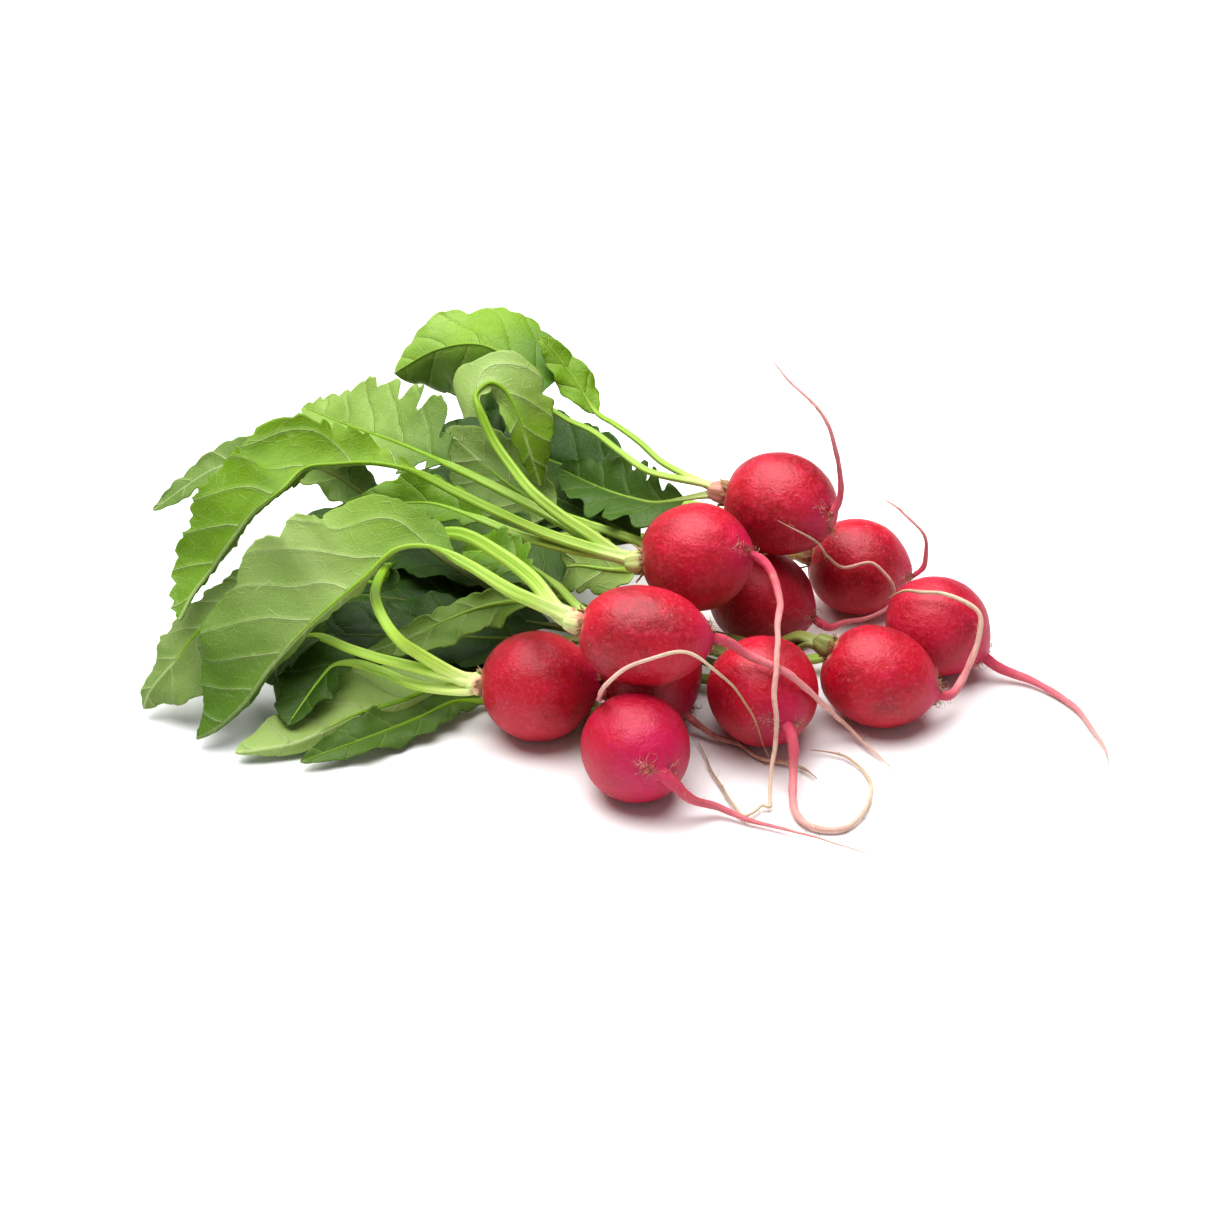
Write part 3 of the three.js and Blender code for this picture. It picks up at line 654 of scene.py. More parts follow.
rootlets = {"sides": 4, "bends": 9, "tip": 0.4}  # a hair's sides and bends, and how thin its end is
hairs = {  # on the globe, in two rows beside the taproot, curled close to the skin
    "count": 36, "length": (1.5, 5.5), "radius": 0.10, "thickness": (0.6, 1.3), "turning": 0.5,
    "angle": 0.13, "angleSpread": 0.15, "rowSpread": 0.22,  # from the pole, and round it from the row
    "ahead": (-0.3, 0.9), "outward": 0.5, "pull": 0.15, "sunk": 0.3, "gap": 0.12,
}
whiskers = {  # along the taproot
    "count": 22, "length": (1.0, 4.0), "radius": 0.06, "thickness": (0.7, 1.3), "turning": 0.3,
    "bareEnd": 3, "crowding": 1.6,  # mm at each end without them, and how they crowd near the globe
    "ahead": (-0.2, 1.0), "sunk": 0.6, "reach": 3,  # reach in steps of the line, for its direction there
}


def makeHair(path, radius):
    hair, ring, turn = ringedSphere("hair", rootlets["sides"], rootlets["bends"])
    headings = np.gradient(path, axis=0)
    headings /= np.linalg.norm(headings, axis=1, keepdims=True) + 1e-9
    sides = carried(unit(np.cross(headings[0], (0.31, 0.2, 0.93))), headings)
    others = np.cross(sides, headings)
    taper = radius * np.linspace(1, rootlets["tip"], len(path))
    points = path[ring] + around(turn, sides[ring], others[ring]) * taper[ring][:, None]
    ends = (ring == 0) | (ring == rootlets["bends"])
    points[ends] = path[ring[ends]]
    setPlaces(hair, points, 0.02)
    store(hair, "fibre", np.ones(len(points)))
    hair.data.materials.append(skinLook)
    return hair


def wander(rnd, at, heading, length, turning, pull=0, centre=0, lowest=0):  # a hair's path, off the globe
    path = []
    for _ in range(rootlets["bends"] + 1):
        path.append(at)
        heading = unit(heading + np.array([rnd.gauss(0, turning) for _ in range(3)]) - pull)
        at = at + heading * length / rootlets["bends"]
        if np.linalg.norm(at - centre) < lowest:
            at = centre + unit(at - centre) * lowest
    return np.array(path)


def makeHairs(rnd, form):
    s, made = hairs, []
    for k in range(s["count"]):
        turn = form.rowTurn + (k % 2) * math.pi + rnd.gauss(0, s["rowSpread"])
        skin, u, _ = form.globe(s["angle"] + abs(rnd.gauss(0, s["angleSpread"])), turn)
        heading = np.cross(u, form.pole) * rnd.uniform(-1, 1) + form.pole * rnd.uniform(*s["ahead"])
        path = wander(rnd, form.centre + skin - u * s["sunk"], unit(heading + u * s["outward"]),
                      rnd.uniform(*s["length"]), s["turning"], u * s["pull"], form.centre,
                      np.linalg.norm(skin) + s["gap"])
        made.append(makeHair(path, s["radius"] * rnd.uniform(*s["thickness"])))
    return made


def makeWhiskers(rnd, form):
    s, made = whiskers, []
    for _ in range(s["count"]):
        far = form.buried + s["bareEnd"] + (form.bare - 2 * s["bareEnd"]) * rnd.random() ** s["crowding"]
        i = int(np.searchsorted(form.line, far))
        u = around(rnd.uniform(0, 2 * math.pi), form.sides[i], form.others[i])
        ahead = form.middle[min(i + s["reach"], len(form.middle) - 1)] - form.middle[i - s["reach"]]
        heading = unit(u + unit(ahead) * rnd.uniform(*s["ahead"]))
        start = form.middle[i] + u * form.radius(far - form.buried) * s["sunk"]
        path = wander(rnd, start, heading, rnd.uniform(*s["length"]), s["turning"])
        made.append(makeHair(path, s["radius"] * rnd.uniform(*s["thickness"])))
    return made


# The top: crown, stalks and blades.

topShape = {
    "gap": 0.3, "crownHeight": 5, "crownRadius": 3.3, "stalkSunk": 1.5, "spread": 1.7,  # as in the source
    "lineSteps": 700,
}
stalkShape = {
    "sides": 16, "step": 1.0, "end": 1.5,  # mm of the blade's tip without a midrib
    "taper": 0.7, "ribTip": 0.14, "ribCurve": 1.5, "blendOver": 8,  # mm from round stalk to midrib
    "foot": 0.30, "footLength": 3.5, "swell": 0.05, "swellLength": 9,
    "wide": 0.08, "flat": 0.74, "groove": 0.34, "grooveWidth": 0.42,  # of the radius, on the upper side
    "ridge": 0.035, "ridgeCount": 8, "sink": 0.62,
}
bladeShape = {
    "thickness": 0.34, "step": 0.75, "foldAtRib": 0.7, "wave": 1.3, "waveTurns": 2.5, "wavePhase": 1.7,
    "skew": 0.85, "roundness": 0.65,
    "tooth": 0.1, "cut": 0.28, "cutTurns": 13, "cutJitter": 0.045,  # the notches, as shares of the width
    "notchDepth": (0.85, 0.6), "notchSharp": (1.3, 0.7),  # the usual, and what noise or cuts add
    "ragged": 0.05,
    "scallop": 5.2, "scallopDepth": 0.8, "frayed": 0.22, "frayLength": 1.7, "sawGap": 3.8,  # mm
    "scallopSharp": 0.8, "sawSharp": 1.4, "drift": 0.35, "driftLength": 9,
    "uneven": (0.75, 0.6), "unevenLength": 12,
    "veinGap": 7.6, "veinGapGrowth": 0.055, "veinLean": 0.78,  # mm between side veins
    "veinCurve": 1.08, "veinShift": 0.25, "veinBend": 0.16, "veinBendSize": 9,
    "bulge": 0.30, "bulgeFall": 0.45, "groove": 0.3, "grooveWidth": 1.3,
    "ruffle": 0.65, "ruffleLength": 2.2, "ruffleUneven": 1.6, "ruffleSize": 5.5,
    "crumple": 0.8, "crumpleSize": 10, "pucker": 0.22, "puckerSize": 3.6,
    "calm": 4, "calmBulge": 5, "calmRuffle": 6,  # mm beside the midrib that stay smooth
}
usualLeaf = {  # what a leaf has where it says nothing else; left and right are as seen from its foot
    "fold": (10, 10),  # degrees that its left and right halves rise
    "taper": 0.06,  # share of the length over which it widens, or one for each half
    "cuts": 0.6, "teeth": 1, "jagged": 0,  # notches near the base, scallops, and mm of pointed teeth
    "rib": 0.85,  # the midrib's share of the stalk's thickness
    "shows": "upper",  # the side of the blade that looks the way of face
    # light 0 is the dark end, painted shade for a leaf deep in the bunch; higher is partly painted light
    "yellow": 0.2, "light": 0,  # tones from 0 to 1; several run from base to tip; light is partly painted shade
    "halves": (0, 0),  # painted shade that the left and right halves add to light, for a half hanging in shade
}


def crownOf(radish):  # the crown's direction, foot and top
    s, out = topShape, unit(radish["crown"])
    angle = math.acos(max(-1, min(1, float(out @ unit(radish["axis"])))))
    skin = math.hypot(radish["radius"] * math.sin(angle), radish["halfLength"] * math.cos(angle))
    foot = np.array(radish["centre"], float) + out * (skin - rootShape["crownDip"] + s["gap"])
    return out, foot, foot + out * s["crownHeight"]


class LeafForm:  # one leaf's line and its own directions
    def __init__(self, number, index, radish, leaf):
        s = topShape
        self.seed = number * 5 + index
        self.wavePhase = (number - 1 + index) * bladeShape["wavePhase"]
        out, foot, top = crownOf(radish)
        first = np.array(leaf["route"][0], float) - top
        sideways = unit(first - out * (first @ out))
        begin = foot + out * s["stalkSunk"] + sideways * s["spread"] / 2
        route = Route([begin, top + sideways * s["spread"], *leaf["route"]])
        self.length = route.length
        self.bladeStart = route.length * leaf["bladeFrom"]
        self.bladeLength = route.length - self.bladeStart
        self.line = np.linspace(0, route.length, s["lineSteps"])
        headings = route.heading(self.line)
        onBlade = np.clip((self.line - self.bladeStart) / self.bladeLength, 0, 1)
        face, tipFace = unit(leaf["face"]), unit(leaf.get("tipFace", leaf["face"]))
        self.across = units(np.cross(headings, mix(face, tipFace, onBlade[:, None])))
        split = int(np.searchsorted(self.line, self.bladeStart))
        self.across[:split] = carried(self.across[split], headings[:split][::-1])[::-1]
        self.up = np.cross(self.across, headings)
        self.path = route.at(self.line)

    def at(self, far, x, z):  # points at these mm along, across and up
        path, across, up = (between(far, self.line, rows) for rows in (self.path, self.across, self.up))
        return path + across * x[:, None] + up * z[:, None]


def halfWidth(form, leaf, left, share):  # mm, narrow at the base and round at the tip
    s = bladeShape
    share = np.clip(share, 0, 1)
    far = share * form.bladeLength
    side = share * 0 + left * 5.0

    def noise(along, seed, row=0, side=side):
        return lumps(table(along, side, row), 1, form.seed + seed)

    widening = 1 - np.exp(-share / np.where(left, *np.broadcast_to(leaf["taper"], 2)))
    outline = widening * np.sin(math.pi * share ** s["skew"]) ** s["roundness"]
    depth = s["tooth"] + s["cut"] * leaf["cuts"] * (1 - share) ** 2
    turns = s["cutTurns"] * math.pi * (share + s["cutJitter"] * noise(share * 7, 0, form.seed))
    usual, more = s["notchSharp"]
    notch = (0.5 + 0.5 * np.cos(turns)) ** (usual + more * min(leaf["cuts"], 1.5))
    usual, more = s["notchDepth"]
    notch = notch * (usual + more * noise(share * 8, 15, form.seed))
    ragged = 1 + s["ragged"] * noise(share * 5, 3, side=side * 1.4)
    half = np.where(left, *leaf["width"]) * outline * (1 - depth * notch) * ragged

    drift = s["drift"] * noise(far / s["driftLength"], 11)
    usual, more = s["uneven"]
    uneven = usual + more * noise(far / s["unevenLength"], 7)
    wave = np.abs(np.sin(math.pi * (far / s["scallop"] + drift + left * 0.4)))
    saw = 1 - (far / s["sawGap"] + 2 * drift + 0.3 * uneven) % 1
    teeth = s["scallopDepth"] * leaf["teeth"] * uneven * (1 - wave ** s["scallopSharp"])
    teeth = teeth + leaf["jagged"] * uneven * saw ** s["sawSharp"]
    teeth = teeth + s["frayed"] * noise(far / s["frayLength"], 21)
    return np.maximum(half - teeth * np.minimum(half / s["calm"], 1), 0)


def makeStalk(form, radish, leaf):  # it goes on as the midrib under the blade
    s, thick = stalkShape, radish["stalk"]
    end = form.length - s["end"]
    steps = int(end / s["step"])
    stalk, ring, turn = ringedSphere("stalk", s["sides"], steps)
    far = ring / steps * end
    onBlade = np.clip((far - form.bladeStart) / form.bladeLength, 0, 1)
    petiole = 1 - ease((far - form.bladeStart) / s["blendOver"])  # 1 on the stalk, 0 on the midrib
    rib = thick * s["taper"] * leaf["rib"] - s["ribTip"]
    radius = mix(s["ribTip"] + rib * (1 - onBlade) ** s["ribCurve"],
                 thick * mix(1, s["taper"], far / form.bladeStart), petiole)
    radius = radius * (1 + s["foot"] * np.exp(-far / s["footLength"]))
    radius = radius * (1 + s["swell"] * lumps(table(far, 0, 0), s["swellLength"], form.seed))
    topSide = np.sin(turn) > 0
    groove = s["groove"] * petiole * np.exp(-(np.cos(turn) / s["grooveWidth"]) ** 2) * topSide
    z = np.sin(turn) * np.where(topSide, mix(1, s["flat"], petiole), 1) - groove
    ridge = 1 + s["ridge"] * np.cos(turn * s["ridgeCount"] + far * 0.02)
    sink = s["sink"] * (petiole - 1) * (1 if leaf["shows"] == "upper" else -1) * radius
    ends = (ring == 0) | (ring == steps)
    x = np.where(ends, 0, np.cos(turn) * (1 + s["wide"] * petiole) * radius * ridge)
    setPlaces(stalk, form.at(far, x, np.where(ends, 0, z * radius * ridge) + sink), 0.05)
    storeStalk(stalk, radish, np.cos(turn) + form.seed, np.sin(turn), far)
    return stalk


def storeStalk(piece, radish, x, y, far):  # what the stalks' material reads
    store(piece, "stalkPlace", table(x, y, far / stalkUnit))
    # olive for old colour and painted shade, and a brightness scale that is painted light
    store(piece, "stalkAge", table(radish["oliveAndShade"], radish["paintedLight"], far * 0))
    piece.data.materials.append(stalkLook)


def makeBlade(form, leaf):
    s, seed, length = bladeShape, form.seed, form.bladeLength
    shares = np.linspace(0, 1, 60)
    broad = max(halfWidth(form, leaf, np.full(60, left), shares).max() for left in (True, False))
    piece, share, v = sheet("blade", max(16, int(length / s["step"])), 2 * max(6, int(broad / s["step"])))
    left, far = v < 0, share * length
    half = halfWidth(form, leaf, left, share)
    outFrom = np.abs(v) * half  # mm from the midrib
    flat = table(v * half, far, seed * 3)
    turned = np.radians(np.where(left, *leaf["fold"]) * mix(s["foldAtRib"], 1, np.abs(v)))
    phase = form.wavePhase + np.sign(v) + share * s["waveTurns"] * 2 * math.pi
    wave = s["wave"] * v ** 2 * np.sin(phase) * np.sin(math.pi * share)

    spacing = s["veinGap"] + length * s["veinGapGrowth"]
    clear = np.minimum(outFrom / s["calm"], 1)  # of the midrib
    bend = lumps(flat, s["veinBendSize"], seed) * s["veinBend"] * clear
    vein = (far - s["veinLean"] * outFrom ** s["veinCurve"]) / spacing + bend + s["veinShift"] * (v > 0)
    puff = np.abs(np.sin(math.pi * vein)) ** 0.8 * ease(outFrom / s["calmBulge"])
    puff = puff * (1 - s["bulgeFall"] * v ** 2)
    edge = lumps(table(far, np.sign(v) * 30, 0), s["ruffleSize"], seed + 13)
    ruffle = np.sin(far / s["ruffleLength"] + seed + v) + s["ruffleUneven"] * edge
    ruffle = s["ruffle"] * ruffle * np.abs(v) ** 3 * ease(outFrom / s["calmRuffle"])
    crumple = s["crumple"] * lumps(flat, s["crumpleSize"], seed + 5)
    crumple = crumple + s["pucker"] * lumps(flat, s["puckerSize"], seed + 8)
    raised = -1 if leaf["shows"] == "under" else 1
    lift = raised * s["bulge"] * puff + ruffle + crumple * clear
    lift = lift - raised * s["groove"] * np.exp(-(outFrom / s["grooveWidth"]) ** 2)
    x = v * half * np.cos(turned) - np.sign(v) * np.sin(turned) * lift
    z = outFrom * np.sin(turned) + wave + np.cos(turned) * lift
    setPlaces(piece, form.at(form.bladeStart + far, x, z), 0.3)

    # the light tone along the blade, partly painted shade and painted light
    tones = [np.atleast_1d(leaf[key]) for key in ("yellow", "light")]
    yellow, light = (np.interp(share, np.linspace(0, 1, len(tone)), tone) for tone in tones)
    # a half that hangs in shade gets painted shade
    light = np.clip(light + np.where(left, *leaf["halves"]), 0, 1)
    store(piece, "veinPlace", table(vein, outFrom, share))
    store(piece, "netPlace", flat)
    store(piece, "tint", table(yellow, light, spacing * 0.8))
    for look in (upperLook, underLook)[::raised]:
        piece.data.materials.append(look)
    thicken(piece, s["thickness"], underside=1)
    return piece


def makeLeaf(number, index, radish, leaf):
    leaf = {**usualLeaf, **leaf}
    form = LeafForm(number, index, radish, leaf)
    return [makeStalk(form, radish, leaf), makeBlade(form, leaf)]


crownShape = {
    "sides": 28, "rings": 18, "sunk": 1.3, "size": 0.92,
    "profile": [(0.72, 0), (0.98, 0.18), (1.02, 0.34), (0.92, 0.6), (0.72, 0.85), (0.0, 1.02)],
    "scales": 9, "scaleLength": (1.3, 3.2), "scaleWidth": (0.5, 1.1), "scaleLean": (0.25, 1.0),
    "scaleThickness": 0.16, "scaleSunk": 0.9, "scaleCurl": 0.35,
}


def makeCrown(number, radish):
    s, radius = crownShape, topShape["crownRadius"]
    foot = crownOf(radish)[1]
    out, side, other = crownPlane(radish)
    dome, ring, turn = ringedSphere("crown", s["sides"], s["rings"])
    wide, high = np.array(s["profile"]).T
    share = ring / s["rings"]
    wide = np.interp(share, high / high[-1], wide) * radius * s["size"]
    lobes = 1 + 0.08 * np.cos(turn * 5 + number) + 0.04 * np.cos(turn * 13 + number * 2)
    lobes[ring == 0] = 0
    upward = out[None] * (share * (topShape["crownHeight"] + s["sunk"]))[:, None]
    points = foot - out * s["sunk"] + upward + around(turn, side, other) * (wide * lobes)[:, None]
    setPlaces(dome, points)
    storeStalk(dome, radish, np.cos(turn) * 1.5, np.sin(turn) * 1.5,
               share * 6 - 1.2 - radish["rosyCrown"])
    rnd = random.Random(number)
    pieces = [dome]
    for k in range(s["scales"]):
        angle = k / s["scales"] * 2 * math.pi + rnd.uniform(-0.3, 0.3)
        pieces.append(makeScale(number + k, rnd, foot, out, around(angle, side, other)))
    return pieces


def makeScale(seed, rnd, foot, out, u):  # a dry scale on the crown's side u
    s = crownShape
    scale, share, v = sheet("scale", 6, 4)
    length, width, lean = (rnd.uniform(*s[key]) for key in ("scaleLength", "scaleWidth", "scaleLean"))
    base = foot - out * s["scaleSunk"] + u * (topShape["crownRadius"] * 0.93 + 0.2)
    along = (out * 0.85 + u * lean)[None] * (share * length)[:, None]
    across = np.cross(out, u) * (v * width * (1 - share ** 2 * 0.8))[:, None]
    curl = s["scaleCurl"] * lumps(table(v * 2, share * 3, 0), 1, seed)
    setPlaces(scale, base + along + across + u * curl[:, None], 0.1)
    scale.data.materials.append(dryLook)
    thicken(scale, s["scaleThickness"])
    return scale


def makeTop(number, radish):
    pieces = makeCrown(number, radish)
    for index, leaf in enumerate(radish["leaves"]):
        pieces += makeLeaf(number, index, radish, leaf)
    whole = joined(f"radish{number}Leaves", pieces)
    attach(whole, "root")
    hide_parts(f"radish_{number}_leaves")
    return whole


usualRadish = {  # what a radish has where it says nothing else
    "stalk": 1.6,  # mm, the radius of its stalks
    "oliveAndShade": 0, "paintedLight": 1,  # olive as old colour and painted shade; painted light for stalks in shade
    "rosyCrown": 0,  # mm that the blush on its crown reaches further out
    "rosy": 0,  # how rosy its globe is
    "dull": 0,  # how brown its taproot is
}


def makeRadish(number, radish):
    radish = {**usualRadish, **radish}
    root = makeRoot(number, radish)
    top = makeTop(number, radish)
    print("Radish", number, "made:", len(root.data.polygons), "and", len(top.data.polygons), "faces")


# The eleven radishes, in mm. halfLength is the globe's, along axis. The taproot starts at the globe's skin;
# thickness gives its radii at the globe, in the middle and at the tip, and how fast it thins, and paling how
# far it goes from red to brown. A leaf's route runs from the crown to its tip, bladeFrom is the share of it
# before the blade, width gives its two halves, and face, or tipFace at the tip, the way that it looks.

# A leaf's light tone is partly its own tone and partly painted shade and painted light, by where it lies.
radish1 = {
    "centre": (48.5, 26, 42.5), "radius": 14.4, "halfLength": 16.6,
    "axis": (0.93, -0.36, 0.02), "crown": (-0.97, 0.22, 0.08),
    "thickness": (1.7, 1, 0.22, 1.1), "paling": 0.42, "stalk": 1.1, "rosyCrown": 7,
    "taproot": [(60, 16, 43), (64, 17, 48), (65, 18, 54), (63, 18, 64), (61, 20, 71), (57, 24, 76),
        (50, 31, 80), (44, 37, 85)],
    "leaves": [
        {"route": [(16, 39, 48), (9, 46, 51), (2, 54, 52), (-3, 62, 51), (-8, 68, 56), (-13, 73, 61),
            (-17, 76, 65), (-20, 78, 67)],
         "bladeFrom": 0.62, "width": (5.5, 5.5), "face": (0.45, -0.6, 0.66), "fold": (-8, 12), "cuts": 0,
         "teeth": 0.3, "yellow": 1, "light": 0.7},
        # this leaf's left half hangs toward the front and is painted in shade, and its light tone is painted
        # shade at the base
        {"route": [(12, 36, 47), (4, 43, 49), (-4, 53, 50), (-12, 57, 52), (-19, 62, 55), (-26, 76, 59),
            (-37, 84, 61), (-50, 88, 57), (-63, 88, 49)],
         "bladeFrom": 0.52, "width": (32, 18), "face": (0.1, -0.35, 0.9), "fold": (-72, -5), "cuts": 0.2,
         "teeth": 2, "yellow": (1, 1, 0.8, 0.5, 0.5), "light": (0, 0.2, 0.9, 1, 1), "halves": (-0.4, 0)},
        {"route": [(14, 34, 38), (7, 38, 37), (1, 43, 36), (-6, 50, 35), (-14, 59, 34)],
         "bladeFrom": 0.16, "width": (12, 12), "face": (0.1, -0.6, 0.8), "fold": (15, 15), "cuts": 3,
         "yellow": 0.35, "light": 0.1},
    ],
}
makeRadish(1, radish1)

radish2 = {
    "centre": (72.2, 38, 13.6), "radius": 14, "halfLength": 14.9,
    "axis": (0.97, -0.12, -0.18), "crown": (-0.97, 0.12, 0.2),
    "thickness": (1.5, 0.62, 0.25, 1), "paling": 0.4,
    "taproot": [(87, 35, 12), (91, 36, 14), (92, 37, 19), (91, 38, 24), (88, 41, 27), (84, 45, 29),
        (79, 49, 30)],
    "leaves": [
        {"route": [(38, 46, 14), (20, 54, 11), (0, 66, 9), (-22, 81, 7), (-45, 96, 5), (-60, 105, 3)],
         "bladeFrom": 0.45, "width": (18, 18), "face": (0, -0.2, 1), "fold": (12, 12)},
        {"route": [(36, 54, 21), (14, 63, 22), (-10, 78, 22), (-32, 94, 21), (-52, 106, 18)],
         "bladeFrom": 0.42, "width": (17, 17), "face": (0, -0.4, 0.9)},
    ],
}
makeRadish(2, radish2)

radish3 = {
    "centre": (24.6, 5.4, 38), "radius": 15.1, "halfLength": 16,
    "axis": (0.93, -0.2, 0.2), "crown": (-0.98, -0.04, -0.06),
    "thickness": (1.9, 1.15, 0.26, 1.15), "paling": 1, "stalk": 1.7,
    "taproot": [(38, 0, 43), (43, -3, 42), (46, -9, 40), (47, -16, 38), (46, -27, 37), (45, -37, 32),
        (45, -44, 23), (45, -47, 12), (44, -53, 5), (43.6, -59, 2.2), (43.4, -61, 1.8), (41.4, -60.2, 1.8),
        (39.4, -62.6, 1.6), (36.8, -64.6, 1.5), (34, -59, 1.3), (29, -46, 1.3), (25, -31, 1.3)],
    "leaves": [
        {"route": [(-5, 11, 42), (-13, 16, 45), (-21, 22, 49), (-27, 31, 52), (-32, 38, 56), (-36, 45, 62),
            (-37, 50, 64), (-33, 53, 66), (-29, 52, 64), (-25, 47, 58), (-22, 42, 50), (-19, 39, 40)],
         "bladeFrom": 0.56, "width": (13, 6), "face": (-0.25, -0.7, 0.65), "tipFace": (0.3, -0.75, 0.6),
         "fold": (-25, -10), "taper": (0.06, 0.35), "teeth": 1.8, "shows": "under",
         "yellow": (0.1, 0, 0.9, 1), "light": (0.9, 1, 0.45, 0.35)},
        {"route": [(-9, 8, 39), (-21, 10, 41), (-28, 13, 42), (-38, 19, 43), (-50, 24, 44), (-62, 24, 43),
            (-76, 22, 39)],
         "bladeFrom": 0.5, "width": (8, 9), "face": (0, -0.5, 0.9), "fold": (15, 15), "cuts": 2,
         "yellow": 0.9, "light": 0.5},
        {"route": [(-16, 9, 43), (-30, 11, 49), (-42, 14, 54), (-52, 17, 58), (-64, 19, 60), (-75, 17, 61),
            (-83, 15, 61), (-89, 7, 59), (-97, 3, 54), (-104, -1, 46), (-109, -3, 39), (-114, -8, 34),
            (-117, -14, 30)],
         "bladeFrom": 0.4, "width": (6, 22), "face": (0.1, -0.55, 0.8), "tipFace": (-0.5, -0.6, 0.5),
         "fold": (-100, 5), "taper": 0.25, "cuts": 0.35, "teeth": 0.9, "jagged": 2.4, "rib": 0.6,
         "shows": "under", "yellow": (1, 1, 0.85), "light": (0.65, 0.4, 0.3)},
        # this leaf's light tone is painted shade at its base, where its lobes lie in shade
        {"route": [(-14, 20, 41), (-30, 31, 44), (-47, 43, 46), (-61, 54, 46), (-76, 67, 44),
            (-90, 82, 41)],
         "bladeFrom": 0.5, "width": (12, 20), "face": (0.1, -0.5, 0.8), "cuts": 2.4, "jagged": 3.4,
         "yellow": 0.3, "light": (0.2, 0.9, 1)},
    ],
}
makeRadish(3, radish3)

radish4 = {
    "centre": (43.6, 21.4, 13.8), "radius": 14.2, "halfLength": 15.1,
    "axis": (0.93, -0.2, -0.3), "crown": (-0.92, 0.22, 0.3),
    "thickness": (2, 0.7, 0.3, 1), "paling": 0.9,
    "taproot": [(58, 17, 10), (63, 15, 8), (68, 19, 7), (75, 21, 7), (81, 22, 11), (81, 23, 18),
        (75, 24, 24), (67, 23, 23), (62, 20, 29), (58, 12, 39), (53, 9, 44), (47, 9, 48)],
    "leaves": [
        {"route": [(12, 31, 25), (2, 37, 28), (-9, 47, 28), (-20, 60, 26), (-32, 74, 22)],
         "bladeFrom": 0.25, "width": (14, 14), "face": (0.1, -0.4, 0.9), "fold": (14, 14), "cuts": 3,
         "yellow": 0.3, "light": 0.25},
        {"route": [(12, 24, 21), (1, 20, 24), (-9, 22, 24), (-18, 22, 22), (-28, 24, 19)],
         "bladeFrom": 0.35, "width": (9, 11), "face": (0, -0.6, 0.8), "fold": (5, 10), "cuts": 1.2,
         "shows": "under", "yellow": 0.3, "light": 0.7},
        {"route": [(8, 28, 29), (-5, 33, 31), (-16, 40, 31.5), (-27, 48, 34), (-35, 55, 37), (-42, 62, 40),
            (-47, 66, 43)],
         "bladeFrom": 0.52, "width": (13, 13), "face": (-0.1, -0.7, 0.7), "fold": (8, 8), "teeth": 0.4,
         "shows": "under", "light": 0.6},
    ],
}
makeRadish(4, radish4)

radish5 = {
    "centre": (9.5, -34, 38.5), "radius": 13.5, "halfLength": 17.9,
    "axis": (0.98, -0.1, -0.05), "crown": (-0.97, 0.11, 0.17),
    # its stalks are painted brighter, as painted light where the leaves above shade them
    "thickness": (2.3, 1.5, 0.2, 1), "paling": 0.62, "stalk": 2, "paintedLight": 1.1,
    "taproot": [(27, -36, 40), (33, -34, 36), (38, -34, 32), (44, -36, 30.5), (49, -37, 28), (55, -36, 21),
        (61, -32, 12), (67, -29, 4), (72, -35, 1.8), (79, -45, 1.3)],
    "leaves": [
        # this leaf's light tone is painted shade at the base and where it hangs down at the tip
        {"route": [(-25, -27, 48), (-37, -20, 52), (-48, -14, 54), (-57, -14, 53), (-65, -18, 47),
            (-73, -21, 41), (-82, -23, 33), (-91, -27, 24), (-99, -31, 14), (-107, -33, 7), (-112, -33, 4)],
         "bladeFrom": 0.27, "width": (7, 31), "face": (-0.2, -0.6, 0.75), "fold": (-100, 2), "taper": 0.15,
         "cuts": 0.15, "teeth": 0.7, "jagged": 0.8, "rib": 0.5, "shows": "under",
         "yellow": (1, 0.6, 0, 0.1, 0.4, 0.5), "light": (0, 0.6, 0.9, 0.5, 0.1, 0)},
        {"route": [(-20, -18, 46), (-29, -10, 49), (-41, -1, 50), (-53, 3, 45), (-66, 4, 40), (-80, 3, 36),
            (-96, -2, 32), (-112, -10, 24), (-119, -15, 17), (-126, -18, 9), (-128, -19, 4)],
         "bladeFrom": 0.62, "width": (17, 11), "face": (-0.3, -0.6, 0.7), "fold": (-15, -10), "jagged": 0.8,
         "shows": "under", "yellow": 0.05, "light": 0.55},
        {"route": [(-17, -19, 42), (-22, -9, 43), (-28, -2, 43), (-34, 2, 42), (-40, 5, 40)],
         "bladeFrom": 0.5, "width": (8, 8), "face": (0, -0.5, 0.8), "fold": (15, 15), "cuts": 2.6,
         "yellow": 0.9, "light": 0.4},
    ],
}
makeRadish(5, radish5)

